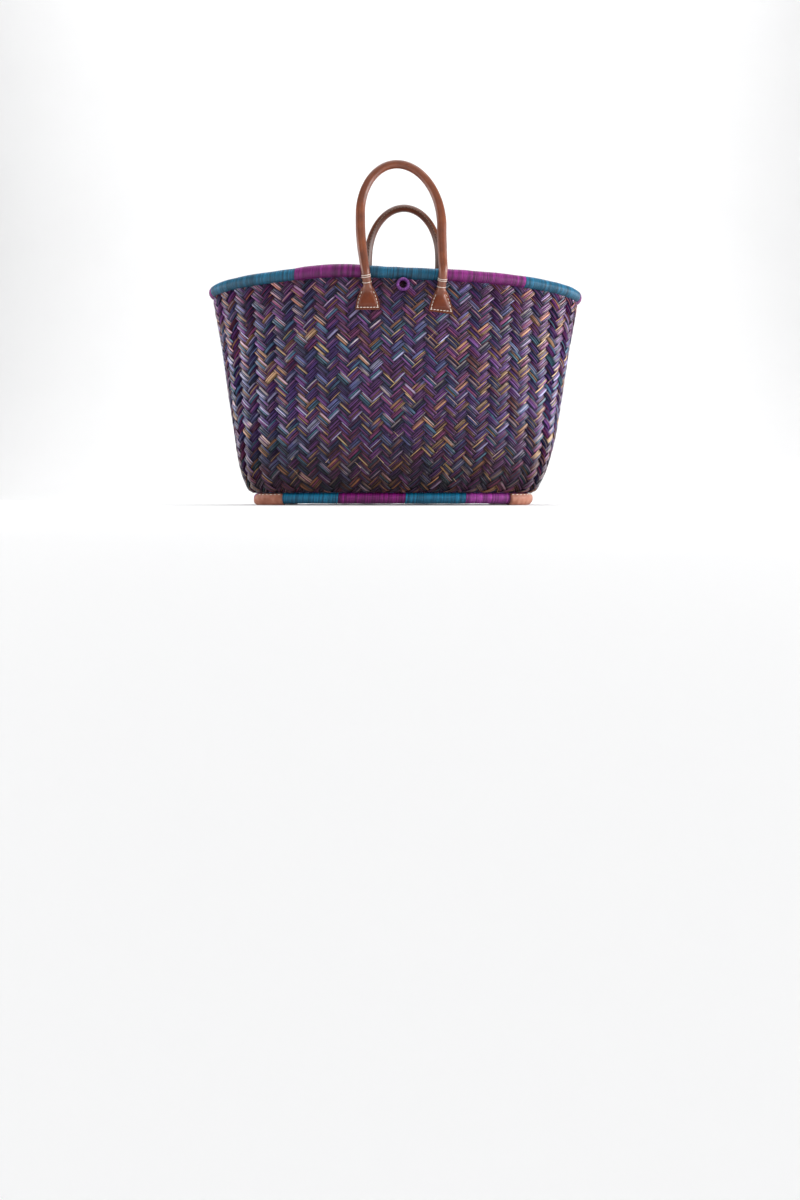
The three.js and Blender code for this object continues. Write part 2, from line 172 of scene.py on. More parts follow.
def dyed_strands(name, width, length, streaks, gloss, relief_mm, shine, **constants):
    """Plant fibre that takes its colour from the mesh: streaked, with gloss and relief along the strand."""
    material, tree, shader = new_material(name, **constants)
    dye_and_light = add_node(tree, "ShaderNodeAttribute", {}, attribute_name="dye_and_light")
    fibres = stretched_noise(tree, width, length, 2.0)
    shade = add_node(tree, "ShaderNodeMapRange", {"Value": fibres, "From Min": 0.3, "From Max": 0.7,
                     "To Min": streaks[0], "To Max": streaks[1]})
    colour = add_node(tree, "ShaderNodeVectorMath", {0: dye_and_light.outputs["Color"],
                      "Scale": shade.outputs[0]}, operation="SCALE")
    rough = add_node(tree, "ShaderNodeMapRange", {"Value": fibres, "To Min": gloss[0], "To Max": gloss[1]})
    bump = add_node(tree, "ShaderNodeBump", {"Strength": 0.6, "Distance": relief_mm * MM, "Height": fibres})
    tree.links.new(colour.outputs[0], shader.inputs["Base Color"])
    tree.links.new(rough.outputs[0], shader.inputs["Roughness"])
    tree.links.new(bump.outputs["Normal"], shader.inputs["Normal"])
    shine_where_shown(tree, shader, dye_and_light, shine)
    return material


# split and dyed grass stem: its waxy skin has a satin gloss that lights up where it turns from the eye
dyed_straw = dyed_strands("dyed_split_straw", FIBRE_MM, FIBRE_LENGTH_MM, streaks=(0.5, 1.6),
                          gloss=(0.12, 0.32), relief_mm=0.25, shine=0.55, IOR=1.45)
print("material:", dyed_straw.name)

# %% [markdown]
# ## The shape of the basket
# The wall is a stack of rounded rectangles that grow from a small flat bottom to a wide oval rim. The
# table gives a few levels of its outer face, as in the solids, and a smooth curve through them gives
# the rest. A cylinder could be pulled into this shape by hand, but everything else has to know where the
# wall is. Sampling it once on a fine grid, even in both directions, makes it a map: any thing on the
# basket is then placed by a fraction of the way round and a fraction of the way up.

# %% Levels of the wall
WALL = 2.4
RIM_HEIGHT = 290
# height, half width, half depth, squareness
LEVELS = np.array([
    [16.2, 184, 78.5, 4.4],
    [19, 189, 82, 4.4],
    [31, 196, 87.5, 4.1],
    [47, 202.5, 91.5, 3.7],
    [80, 211, 95, 3.1],
    [140, 221.5, 98.5, 2.6],
    [210, 232, 100.4, 2.25],
    [280, 244, 101, 2.05],
    [290, 244, 101, 2.05],
])


def level_at(row):
    """The table's columns at a fraction of a row, on a curve that never overshoots its rows."""
    steps = np.diff(LEVELS, axis=0)
    before, after = steps[:-1], steps[1:]
    same_way = before * after > 0
    slopes = np.zeros_like(LEVELS)
    slopes[1:-1][same_way] = 2 * (before * after)[same_way] / (before + after)[same_way]
    k = np.clip(np.floor(row).astype(int), 0, len(LEVELS) - 2)
    f = (row - k)[:, None]
    return ((2 * f**3 - 3 * f**2 + 1) * LEVELS[k] + (f**3 - 2 * f**2 + f) * slopes[k]
            + (3 * f**2 - 2 * f**3) * LEVELS[k + 1] + (f**3 - f**2) * slopes[k + 1])


print("levels:", len(LEVELS), "from", LEVELS[0, 0], "to", LEVELS[-1, 0], "mm")

# %% The outline of a level, and how a hand-made basket strays from it
TURN_SAMPLES = 1441
RIM_DIP, RIM_LEAN = 10, 3.2
RIM_SWELL, SWELL_X, SWELL_REACH = 4, -75, 60
BASE_SHIFT, BASE_SHIFT_TOP = -4, 110


def smooth_step(value, low, high):
    part = np.clip((value - low) / (high - low), 0, 1)
    return part * part * (3 - 2 * part)


def rounded_rectangle(half_width, half_depth, squareness, count):
    """Evenly spaced points once round, from the middle of the front towards the right."""
    turn = np.linspace(0, 2 * math.pi, TURN_SAMPLES)
    across, along = np.sin(turn), -np.cos(turn)
    x = half_width * np.sign(across) * np.abs(across) ** (2 / squareness)
    y = half_depth * np.sign(along) * np.abs(along) ** (2 / squareness)
    length = np.concatenate([[0], np.cumsum(np.hypot(np.diff(x), np.diff(y)))])
    even = np.linspace(0, length[-1], count + 1)
    return np.interp(even, length, x), np.interp(even, length, y)


def rim_shift(x, height):
    """The rim dips at its ends, leans a little to one side and swells at the left of the front."""
    end = x / LEVELS[-1, 1]
    swell = RIM_SWELL * np.exp(-(((x - SWELL_X) / SWELL_REACH) ** 2))
    dip = RIM_DIP * (end**2 + end**4) / 2 + RIM_LEAN * end
    return smooth_step(height, 0, RIM_HEIGHT) * (swell - dip)


def base_shift(height):
    """The foot of the basket stands a little to the left of its rim."""
    return BASE_SHIFT * (1 - smooth_step(height, 0, BASE_SHIFT_TOP))


# %% Sampling the wall
ROUND_CELLS, UP_CELLS, LEVEL_SAMPLES = 720, 240, 321


def sample_wall():
    """The wall's points, even up and round, and the length of its face from bottom to top."""
    rows = []
    levels = level_at(np.linspace(0, len(LEVELS) - 1, LEVEL_SAMPLES))
    for height, half_width, half_depth, squareness in levels:
        x, y = rounded_rectangle(half_width, half_depth, squareness, ROUND_CELLS)
        rows.append(np.column_stack([x + base_shift(height), y, height + rim_shift(x, height)]))
    rows = np.array(rows)
    rise = np.linalg.norm(np.diff(rows, axis=0), axis=2).mean(axis=1)
    up = np.concatenate([[0], np.cumsum(rise)])
    place = np.interp(np.linspace(0, up[-1], UP_CELLS + 1), up, np.arange(len(rows)))
    k = np.clip(place.astype(int), 0, len(rows) - 2)
    share = (place - k)[:, None, None]
    return blend(rows[k], rows[k + 1], share), up[-1]


wall_points, wall_rise = sample_wall()
once_round = wall_points[:, :-1]
ahead = np.roll(once_round, -1, axis=1) - np.roll(once_round, 1, axis=1)
ahead_closed = np.concatenate([ahead, ahead[:, :1]], axis=1)
wall_normals = unit(np.cross(ahead_closed, np.gradient(wall_points, axis=0)))
wall_girth = np.linalg.norm(np.diff(wall_points, axis=1), axis=2).sum(axis=1)
print(f"the wall rises {wall_rise:.0f} mm along its face")
print(f"it is {wall_girth[0]:.0f} mm round at the bottom and {wall_girth[-1]:.0f} mm at the rim")


# %% Reading the map
def on_grid(grid, around, up):
    """Reads a map of the wall between its points. around: fraction of a turn; up: 0 bottom, 1 top."""
    column = np.mod(around, 1.0) * ROUND_CELLS
    row = np.clip(up, 0, 1) * UP_CELLS
    i = np.minimum(column.astype(int), ROUND_CELLS - 1)
    j = np.minimum(row.astype(int), UP_CELLS - 1)
    a, b = (column - i)[..., None], (row - j)[..., None]
    return blend(blend(grid[j, i], grid[j, i + 1], a), blend(grid[j + 1, i], grid[j + 1, i + 1], a), b)


def on_wall(around, up):
    """Points and outward directions of the wall's outer face."""
    return on_grid(wall_points, around, up), unit(on_grid(wall_normals, around, up))


# %% [markdown]
# ## The plait
# Two sets of straws climb the wall on the slant, one to the right and one to the left, and pass over two
# and under two of the other set: a 2/2 twill. The floats line up in upright columns that lean left and
# right by turns. A woven picture on a flat wall would look printed, so every straw is a real ribbon
# that rises and dives through the wall. Its height is a cosine with flattened tops: one wave for every
# four crossings. Straws lie four to a strip, wide dark ones and narrow bright ones, and a straw keeps its
# colour for a while, so a gold one comes back float after float.
#
# The gaps of a plait are nearly black. A straw's two faces are therefore given painted shade, and lose
# their shine, wherever they dive under the other set. At the ends of the basket, light from the front
# catches the straws that rise towards the end, and leaves the other set dull. The dye carries some of
# that too, as painted sheen on the one set and painted shade on the other.

# %% Straw colours
# hex, share among wide straws, share among narrow ones
STRAW_DYES = [
    ("#4d2956", 22, 6),
    ("#3a2652", 18, 6),
    ("#593a69", 12, 8),
    ("#2b2b4c", 13, 4),
    ("#414667", 9, 8),
    ("#385267", 7, 8),
    ("#5a2b4c", 10, 8),
    ("#5f3a40", 5, 7),
    ("#a28463", 3, 14),
    ("#7d5d46", 4, 10),
    ("#7f7996", 5, 12),
    ("#9f878e", 3, 12),
]
NARROW = 0.2
STRAWS_PER_STRIP = 4
BUNDLED = 0.3
# least and most: how pale a straw's dye is, and how far each of its three colours strays
PALENESS, STRAYING = (0.5, 1.8), (0.9, 1.1)


def straw_dyes(shares, rng):
    """Two dyes for each straw, in linear light: its own, and one that it fades to here and there.

    About a third of the straws of a strip come from one bundle and share its dyes.
    """
    picks = []
    for column in (1, 2):
        weights = np.array([row[column] for row in STRAW_DYES], float)
        picks.append(rng.choice(len(STRAW_DYES), (2, len(shares)), p=weights / weights.sum()))
    wide, narrow = picks
    picks = np.where(shares < NARROW, narrow, wide)
    bundle = np.repeat(wide[:, ::STRAWS_PER_STRIP], STRAWS_PER_STRIP, axis=1)
    picks = np.where(rng.uniform(0, 1, len(shares)) < BUNDLED, bundle, picks)
    dyes = np.array([linear(row[0]) for row in STRAW_DYES])[picks]
    dyes = dyes * rng.uniform(*PALENESS, (2, len(shares), 1))
    return dyes * rng.uniform(*STRAYING, (2, len(shares), 3))


print("straw dyes:", len(STRAW_DYES))

# %% Straws as ribbons
STRAW_THICK = 1.0
# corners of a straw's section: share of its width, share of its thickness
STRAW_SECTION = np.array([[-0.5, -0.5], [0.5, -0.5], [0.36, 0.5], [-0.36, 0.5]])
# sets the grain of each straw apart, so that no two have the same streaks
STRAND_STEP = 3.7


def ribbons(centres, normals, widths, heights, dye_and_light):
    """Straws as flat closed tubes. centres, normals: straws x stations x 3.

    widths, heights: straws x stations; dye: straws x stations x corners x 4.
    """
    along = unit(np.gradient(centres, axis=1))
    across = unit(np.cross(normals, along))
    sections = (STRAW_SECTION[:, 0, None] * widths[:, :, None, None] * across[:, :, None]
                + (STRAW_SECTION[:, 1, None] * STRAW_THICK + heights[:, :, None, None]) * normals[:, :, None])
    points, faces = closed_tubes(centres[:, :, None] + sections)
    straws, stations = centres.shape[:2]
    run = np.concatenate([np.zeros((straws, 1)),
                          np.cumsum(np.linalg.norm(np.diff(centres, axis=1), axis=2), axis=1)], axis=1)
    grain = np.zeros((straws, stations, len(STRAW_SECTION), 3))
    grain[..., 0] = STRAW_SECTION[:, 0] * widths[..., None]
    grain[..., 1] = run[..., None]
    grain[..., 2] = np.arange(straws)[:, None, None] * STRAND_STEP
    return dict(points=points, faces=faces, dye_and_light=dye_and_light.reshape(-1, 4), grain=grain.reshape(-1, 3))


# %% How straws lie
STRAW_WIDTHS = (0.35, 1.5)
DRIFT_TURNS = (1, 5)
rng = np.random.default_rng(7)


def straw_places(strips):
    """Where the straws of each strip lie across it, and their widths, as shares of the strip."""
    widths = rng.uniform(*STRAW_WIDTHS, (strips, STRAWS_PER_STRIP))
    widths /= widths.sum(axis=1, keepdims=True)
    middles = np.cumsum(widths, axis=1) - widths / 2 - 0.5
    return middles.ravel(), widths.ravel()


def wavering(straws, steps, size):
    """A slow smooth drift for each straw."""
    way = np.linspace(0, 1, steps)
    phases = rng.uniform(0, 2 * math.pi, (2, straws, 1))
    turns = rng.uniform(*DRIFT_TURNS, (2, straws, 1))
    return size * (np.sin(2 * math.pi * turns[0] * way + phases[0])
                   + np.sin(2 * math.pi * turns[1] * way + phases[1])) / 2


def flat_topped(wave):
    """A straw lies flat over the two that it crosses, then dives quickly."""
    return 1.5 * wave - 0.5 * wave**3


# %% Dye and painted shade along a straw
# a face of a straw is hidden below the first height of its wave and in full light above the second
HIDDEN, SHOWN = -0.25, 0.55
GAP_SHADE, SHADE_DRIFT = 0.04, 0.25
FADE_FROM, FADE_TO = 0.1, 0.45


def dye_and_light_along(dyes, wave, steps):
    """Dye and shine at each corner of each station.

    The colour drifts between a straw's two dyes. A face that dives gets painted shade and less shine.
    """
    strips = max(len(wave) // STRAWS_PER_STRIP, 1)
    drift = np.repeat(wavering(strips, steps, 1.0), len(wave) // strips, axis=0)
    drift = smooth_step(drift, FADE_FROM, FADE_TO)[..., None]
    shown = smooth_step(wave[..., None] * np.sign(STRAW_SECTION[:, 1]), HIDDEN, SHOWN)
    # painted shade: a face that dives under the other set is darkened towards GAP_SHADE
    shade = blend(GAP_SHADE, 1.0, shown) * (1 + wavering(len(wave), steps, SHADE_DRIFT))[..., None]
    dye_and_light = blend(dyes[0][:, None], dyes[1][:, None], drift)[:, :, None] * shade[..., None]
    return np.concatenate([dye_and_light, shown[..., None]], axis=-1)


# %% Straws of the wall
STRIPS, STRIP_RISE = 80, 12.3
STRAW_LIFT, STRAW_UNEVEN, STRAW_STEPS = 1.35, 0.15, 98
# share of its place in the strip that a straw fills, and how far it drifts out of it, in strips
STRAW_FILL, STRAW_DRIFT = 0.92, 0.04
# painted shade: the straws are darker and duller towards the bottom, and darker and redder under the rim;
# heights as shares of the wall
LOW_SHADE, LOW_SHADE_SHINE, LOW_SHADE_TOP = np.array([0.4, 0.28, 0.22]), 0.6, 0.4
UNDER_RIM_SHADE, UNDER_RIM_SHADE_FROM = np.array([0.86, 0.56, 0.68]), 0.7
# painted sheen: how much the set of straws that rises towards an end of the basket outshines the other set
# there, in its shine and as painted light in its dye
LAY_SHINE, LAY_SHEEN_AND_SHADE = 1.0, 0.35
crossings_up = wall_rise / STRIP_RISE
print(f"a straw crosses {crossings_up:.1f} strips of the other set on its way up")


def wall_straws(lean, strips):
    """Some strips of one set of the plait. lean 1 climbs to the right, -1 to the left."""
    middles, shares = straw_places(len(strips))
    strip = np.repeat(strips, STRAWS_PER_STRIP)[:, None]
    climb = np.linspace(0, crossings_up, STRAW_STEPS + 1)
    place = strip + middles[:, None] + wavering(len(middles), len(climb), STRAW_DRIFT)
    around = (place + lean * climb) / STRIPS
    up = np.broadcast_to(climb / crossings_up, place.shape)
    centres, normals = on_wall(around, up)
    wave = flat_topped(np.cos(math.pi / 2 * (strip + place + lean * 2 * climb - 0.5)) * lean)
    uneven = rng.uniform(-STRAW_UNEVEN, STRAW_UNEVEN, (len(middles), 1))
    heights = -WALL / 2 + STRAW_LIFT * wave + uneven
    sideways = np.interp(up, np.linspace(0, 1, UP_CELLS + 1), wall_girth) / STRIPS
    pitch = sideways * STRIP_RISE / np.hypot(sideways, STRIP_RISE)
    dye_and_light = dye_and_light_along(straw_dyes(shares, rng), wave, len(climb))
    # painted shade: darker and duller towards the bottom, darker and redder under the rim
    clear_of_low_shade = smooth_step(up, 0.0, LOW_SHADE_TOP)
    dye_and_light[..., :3] *= blend(LOW_SHADE, 1.0, clear_of_low_shade[..., None, None])
    dye_and_light[..., :3] *= blend(1.0, UNDER_RIM_SHADE, smooth_step(up, UNDER_RIM_SHADE_FROM, 1.0)[..., None, None])
    dye_and_light[..., 3] *= blend(LOW_SHADE_SHINE, 1.0, clear_of_low_shade)[..., None]
    facing = unit(normals[..., :2])
    # painted sheen on the set that rises towards the nearer end, painted shade on the other
    painted_sheen = (-2 * lean * facing[..., 0] * facing[..., 1])[..., None]
    dye_and_light[..., 3] *= 1 + LAY_SHINE * painted_sheen
    dye_and_light[..., :3] *= (1 + LAY_SHEEN_AND_SHADE * painted_sheen)[..., None]
    return ribbons(centres, normals, shares[:, None] * pitch * STRAW_FILL, heights, dye_and_light)


HALVES = (np.arange(0, STRIPS // 2), np.arange(STRIPS // 2, STRIPS))
for way, lean in (("right", 1), ("left", -1)):
    for half, strips in enumerate(HALVES, 1):
        add_piece(f"straws_climbing_{way}_{half}", wall_straws(lean, strips), dyed_straw,
                  ["basket_body"])

# %% [markdown]
# ## The bottom and the inside of the plait
# The flat bottom is the same twill, laid straight on the floor of the basket and trimmed to its outline.
# A plain plate could stand there, but it would show from above, through the wide mouth. Between the two
# sets of the wall there is also a thin, nearly black skin. In the real basket the straws are packed so
# tight that no light comes through. The skin closes the pinholes that drawn straws leave, and its dark
# colour is painted shade for the gaps between them.

# %% Straws of the bottom
BOTTOM_PITCH, BOTTOM_FILL = 9.6, 0.97
BOTTOM_REACH, BOTTOM_STRIPS = 260, 18
STEPS_PER_PITCH, FEWEST_STEPS = 2.5, 4
BOTTOM_MIDDLE = LEVELS[0, 0] + WALL / 2
BOTTOM_HALF_WIDTH, BOTTOM_HALF_DEPTH, BOTTOM_SQUARENESS = LEVELS[0, 1:]


def in_bottom(points):
    x = np.abs(points[..., 0] / BOTTOM_HALF_WIDTH)
    y = np.abs(points[..., 1] / BOTTOM_HALF_DEPTH)
    return x**BOTTOM_SQUARENESS + y**BOTTOM_SQUARENESS < 1


def bottom_straws():
    diagonals = np.array([[1, 1, 0], [1, -1, 0]]) / math.sqrt(2)
    reach = np.arange(-BOTTOM_REACH, BOTTOM_REACH, BOTTOM_PITCH / STEPS_PER_PITCH)
    parts = []
    for lean, along, sideways in ((1, diagonals[0], diagonals[1]), (-1, diagonals[1], diagonals[0])):
        for strip in range(-BOTTOM_STRIPS, BOTTOM_STRIPS + 1):
            middles, shares = straw_places(1)
            dyes = straw_dyes(shares, rng)
            for k, place in enumerate(strip + middles):
                line = reach[:, None] * along + place * BOTTOM_PITCH * sideways
                inside = np.flatnonzero(in_bottom(line))
                if len(inside) < FEWEST_STEPS:
                    continue
                line, way = line[inside][None], reach[inside] / BOTTOM_PITCH
                wave = flat_topped(lean * np.cos(math.pi / 2 * (strip + way - 0.5)))[None]
                heights = BOTTOM_MIDDLE + STRAW_LIFT * wave
                normals = np.broadcast_to([0.0, 0.0, 1.0], line.shape)
                widths = np.full(wave.shape, shares[k] * BOTTOM_PITCH * BOTTOM_FILL)
                line = line + [base_shift(BOTTOM_MIDDLE), 0, 0]
                dye_and_light = dye_and_light_along(dyes[:, k:k + 1], wave, wave.shape[1])
                parts.append(ribbons(line, normals, widths, heights, dye_and_light))
    return merged(parts)


add_piece("straws_of_the_bottom", bottom_straws(), dyed_straw, ["basket_bottom"])

# %% Skin in the middle of the wall
SKIN = 0.3
SKIN_AROUND, SKIN_UP = 200, 40
# painted shade: a nearly black skin that stands in for the shade in the gaps between the straws
SKIN_SHADE = "#1d1526"


def skin():
    around = np.linspace(0, 1, SKIN_AROUND, endpoint=False)
    points, normals = on_wall(*np.meshgrid(around, np.linspace(0, 1, SKIN_UP)))
    outside = points - normals * (WALL - SKIN) / 2
    inside = (points - normals * (WALL + SKIN) / 2)[::-1]
    corners, faces = closed_tubes(np.concatenate([outside, inside])[None])
    dye_and_light = np.tile(linear(SKIN_SHADE), (len(corners), 1))
    return dict(points=corners, faces=faces, dye_and_light=dye_and_light, grain=corners * 1.0)


add_piece("skin_inside_the_plait", skin(), dyed_straw, ["basket_body", "basket_bottom"])

# %% [markdown]
# ## Wound raffia
# The rim and the foot ring are bundles wound edge to edge with raffia, a flat ribbon torn from palm leaf.
# It is dyed teal, magenta and orchid, and has a soft satin shine. The windings are about 1.5 mm wide.
# A smooth tube with a bump could stand for them, but its outline would stay smooth. So each winding is a
# real ridge, because the grooves between them are what the eye sees first. No two have quite the same
# width or dye.

# %% The raffia material
# a winding crosses the bundle, so its fibres are long round the bundle and thin along it
RAFFIA_FIBRE_MM, RAFFIA_FIBRE_LENGTH_MM = 0.5, 6
# torn and dyed palm leaf: softer than straw, so it has a broad quiet shine without glints
dyed_raffia = dyed_strands("dyed_palm_raffia", RAFFIA_FIBRE_LENGTH_MM, RAFFIA_FIBRE_MM, streaks=(0.6, 1.4),
                           gloss=(0.38, 0.6), relief_mm=0.12, shine=0.45, IOR=1.48)
print("material:", dyed_raffia.name)


# %% Loops to wind
class Loop:
    """A closed path: level, with a point and an outward direction at each distance along it."""

    def __init__(self, points, outs):
        steps = np.linalg.norm(np.diff(points, axis=0), axis=1)
        self.distance = np.concatenate([[0], np.cumsum(steps)])
        self.length, self.columns = self.distance[-1], np.column_stack([points, outs])

    def at(self, distance):
        way = np.mod(distance, self.length)
        found = np.stack([np.interp(way, self.distance, column) for column in self.columns.T], axis=-1)
        return found[..., :3], unit(found[..., 3:])


# %% Winding
WINDING, FEWEST_WINDINGS = 1.5, 3
# place across a winding, height of its face in mm, share of its dye; the low share in the groove is painted
# shade
WINDING_SHAPE = np.array([[0.0, -0.28, 0.5], [0.2, 0.08, 0.95], [0.5, 0.16, 1.05], [0.8, 0.1, 0.95]])
# least and most of what differs from winding to winding, or from blotch to blotch of the dye
WINDING_WIDTHS, WINDING_RELIEF, WINDING_TINTS = (0.5, 1.5), (0.7, 1.3), (0.5, 1.5)
BLOTCH, BLOTCH_TINTS = 2.6, (0.75, 1.25)
# painted shade on the underside of each winding and painted light on its top
SHADE_BELOW, LIT_TOP = 0.5, 1.4
# the bundle under the windings swells and thins slowly
LUMPS, LUMP_RELIEF = 9, 0.35
# how far a winding slants along the ring, and where round the bundle it is furthest ahead
SLANT, SLANT_TURN = 0.9, 0.6


def wound_run(loop, start, length, half_out, half_up, dye_and_light, sides, swell=0.0):
    """Raffia wound round part of a loop. swell: how much thicker the run is in its middle."""
    count = max(round(length / WINDING), FEWEST_WINDINGS)
    widths = rng.uniform(*WINDING_WIDTHS, count)
    widths *= length / widths.sum()
    edges = np.concatenate([[0], np.cumsum(widths)])
    spots = (edges[:-1, None] + widths[:, None] * WINDING_SHAPE[:, 0]).ravel()
    spots = np.append(spots, length)
    relief = (WINDING_SHAPE[:, 1] * rng.uniform(*WINDING_RELIEF, (count, 1))).ravel()
    relief = np.append(relief, WINDING_SHAPE[0, 1])
    lumps = rng.uniform(-LUMP_RELIEF, LUMP_RELIEF, LUMPS)
    slow = np.interp(spots, np.linspace(0, length, LUMPS), lumps)
    relief = relief + slow + swell * np.sqrt(np.abs(np.sin(math.pi * spots / length)))
    # painted shade in the groove of each winding, times a tint that differs at random
    tint = (WINDING_SHAPE[:, 2] * rng.uniform(*WINDING_TINTS, (count, 1))).ravel()
    tint = np.append(tint, WINDING_SHAPE[0, 2])
    blotches = np.arange(0, length + BLOTCH, BLOTCH)
    tint = tint * np.interp(spots, blotches, rng.uniform(*BLOTCH_TINTS, len(blotches)))
    turn = np.linspace(0, 2 * math.pi, sides, endpoint=False)
    slant = SLANT * np.cos(turn - SLANT_TURN)
    centres, outs = loop.at(start + spots[:, None] + slant)
    up = np.array([0.0, 0.0, 1.0])
    reach_up = ((half_up + relief[:, None]) * np.cos(turn))[..., None]
    reach_out = ((half_out + relief[:, None]) * np.sin(turn))[..., None]
    points, faces = closed_tubes((centres + reach_up * up + reach_out * outs)[None])
    stations = len(spots)
    grain = np.zeros((stations, sides, 3))
    grain[..., 0] = turn * half_up
    grain[..., 1] = spots[:, None]
    # painted light on top of the windings, painted shade below them
    shades = tint[:, None] * blend(SHADE_BELOW, LIT_TOP, (1 + np.cos(turn)) / 2)
    return dict(points=points, faces=faces, dye_and_light=shades.reshape(-1, 1) * dye_and_light, grain=grain.reshape(-1, 3))


# %% A ring of runs
RUN_GAP = 0.3


def wound_ring(loop, start, runs, dyes, prefix, half_out, half_up, sides, swells):
    """All runs of a ring, joined by colour. The last run closes the ring."""
    parts, names = {}, {}
    for number, (colour, length) in enumerate(runs, 1):
        length = length or loop.length - sum(row[1] for row in runs[:-1])
        run = wound_run(loop, start, length - RUN_GAP, half_out, half_up, linear(dyes[colour]),
                        sides, swells.get(number, 0.0))
        parts.setdefault(colour, []).append(run)
        names.setdefault(colour, []).append(f"{prefix}_wrap_{number:02d}")
        start += length
    for colour in parts:
        add_piece(f"{prefix}_raffia_{colour}", merged(parts[colour]), dyed_raffia, names[colour])


# %% [markdown]
# ## The rim
# The rim binding covers the cut ends of the straws. It goes once round in twelve runs, teal and magenta
# by turns, and one run at the front is wound a little thicker than the others. A bevelled curve could
# follow the rim, but couldn't change its colour from run to run. This one follows the top row of the
# wall's map, so it fits the wall without any measuring.

# %% Rim binding
RIM_RUNS = [("teal", 135), ("magenta", 92), ("teal", 95), ("magenta", 107), ("teal", 98), ("magenta", 86),
            ("teal", 88), ("magenta", 84), ("teal", 90), ("magenta", 85), ("teal", 86), ("magenta", 0)]
RIM_DYES = {"teal": "#0b5c7c", "magenta": "#78156c"}
RIM_START = -262
RIM_HALF_OUT, RIM_HALF_UP, RIM_SIDES = 7.2, 7.6, 16
RIM_SWELLS = {2: 0.9}
level_out = wall_normals[-1] * [1, 1, 0]
rim_loop = Loop(wall_points[-1] - unit(level_out) * WALL / 2, unit(level_out))
wound_ring(rim_loop, RIM_START, RIM_RUNS, RIM_DYES, "rim", RIM_HALF_OUT, RIM_HALF_UP, RIM_SIDES,
           RIM_SWELLS)
print(f"rim: {rim_loop.length:.0f} mm round")

# %% [markdown]
# ## The foot ring
# Under the edge of the bottom runs a second wound ring that keeps the plait off the ground. A smaller
# copy of the rim would be too round for it, so it has a squarer loop of its own. The same winder makes
# it, with shorter runs, slightly paler dyes and a third colour. Part of the paleness is painted light,
# for the basket above shades the ring.

# %% Foot ring
FOOT_HALF_WIDTH, FOOT_HALF_DEPTH, FOOT_SQUARENESS = 176.5, 71, 4.5
FOOT_RADIUS, FOOT_SIDES = 7.1, 14
FOOT_HEIGHT = 8.7
FOOT_RUNS = [("teal", 103), ("magenta", 86), ("teal", 77), ("orchid", 78), ("magenta", 116),
             ("teal", 92), ("magenta", 82), ("teal", 78), ("orchid", 92), ("magenta", 0)]
# teal and magenta are paler than the rim's: their dye, with painted light against the shade of the basket
# above
FOOT_DYES_AND_LIGHT = {"teal": "#0b6c91", "magenta": "#801270", "orchid": "#983892"}
FOOT_START = -172
foot_x, foot_y = rounded_rectangle(FOOT_HALF_WIDTH, FOOT_HALF_DEPTH, FOOT_SQUARENESS, ROUND_CELLS)
foot_z = np.full(len(foot_x), FOOT_HEIGHT)
foot_points = np.column_stack([foot_x + base_shift(FOOT_HEIGHT), foot_y, foot_z])
foot_along = np.gradient(foot_points, axis=0)
foot_along[0] = foot_along[-1] = foot_points[1] - foot_points[-2]
foot_loop = Loop(foot_points, unit(np.cross(foot_along, [0.0, 0.0, 1.0])))
wound_ring(foot_loop, FOOT_START, FOOT_RUNS, FOOT_DYES_AND_LIGHT, "foot", FOOT_RADIUS, FOOT_RADIUS, FOOT_SIDES, {})
print(f"foot ring: {foot_loop.length:.0f} mm round")

# %% [markdown]
# ## Leather and thread
# The handles are vegetable-tanned cowhide, rubbed to a soft gloss by hands: warm brown, darker in the
# creases. The corners are the same hide left paler, and scuffed dull by the ground. A picture of hide
# would have to be stretched over the bends, so the grain is a cell pattern of pores, which fills space
# evenly. The pores are about 0.5 mm on the hide and drawn 1.2 mm, so that they show. The seams are sewn
# with thick waxed linen thread, off-white with a slight shine.

# %% Leather and thread materials
PORE_MM = 1.2
CLOUD_MM = 22
THREAD_FIBRE_MM, THREAD_FIBRE_LENGTH_MM = 0.4, 1.2


def tanned_leather(name, dark, middle, worn, gloss, shine, **constants):
    """Leather with cloudy colour, pores and rubbed places, shaded by the mesh's dye."""
    material, tree, shader = new_material(name, **constants)
    place = add_node(tree, "ShaderNodeTexCoord", {}).outputs["Object"]
    clouds = add_node(tree, "ShaderNodeTexNoise", {"Vector": place, "Scale": 1 / (CLOUD_MM * MM),
                      "Detail": 4.0, "Roughness": 0.65})
    ramp = add_node(tree, "ShaderNodeValToRGB", {"Fac": clouds.outputs["Fac"]})
    for stop, (spot, colour) in enumerate(((0.32, dark), (0.5, middle), (0.7, worn))):
        if stop == 2:
            ramp.color_ramp.elements.new(spot)
        ramp.color_ramp.elements[stop].position = spot
        ramp.color_ramp.elements[stop].color = (*linear(colour), 1)
    shade = add_node(tree, "ShaderNodeAttribute", {}, attribute_name="dye_and_light")
    colour = add_node(tree, "ShaderNodeVectorMath", {0: ramp.outputs["Color"], 1: shade.outputs["Color"]},
                      operation="MULTIPLY")
    pores = add_node(tree, "ShaderNodeTexVoronoi", {"Vector": place, "Scale": 1 / (PORE_MM * MM)})
    bump = add_node(tree, "ShaderNodeBump", {"Strength": 0.35, "Distance": 0.15 * MM,
                    "Height": pores.outputs["Distance"]})
    rough = add_node(tree, "ShaderNodeMapRange", {"Value": clouds.outputs["Fac"], "From Min": 0.3,
                     "From Max": 0.7, "To Min": gloss[1], "To Max": gloss[0]})
    tree.links.new(colour.outputs[0], shader.inputs["Base Color"])
    tree.links.new(rough.outputs[0], shader.inputs["Roughness"])
    tree.links.new(bump.outputs["Normal"], shader.inputs["Normal"])
    shine_where_shown(tree, shader, shade, shine)
    return material


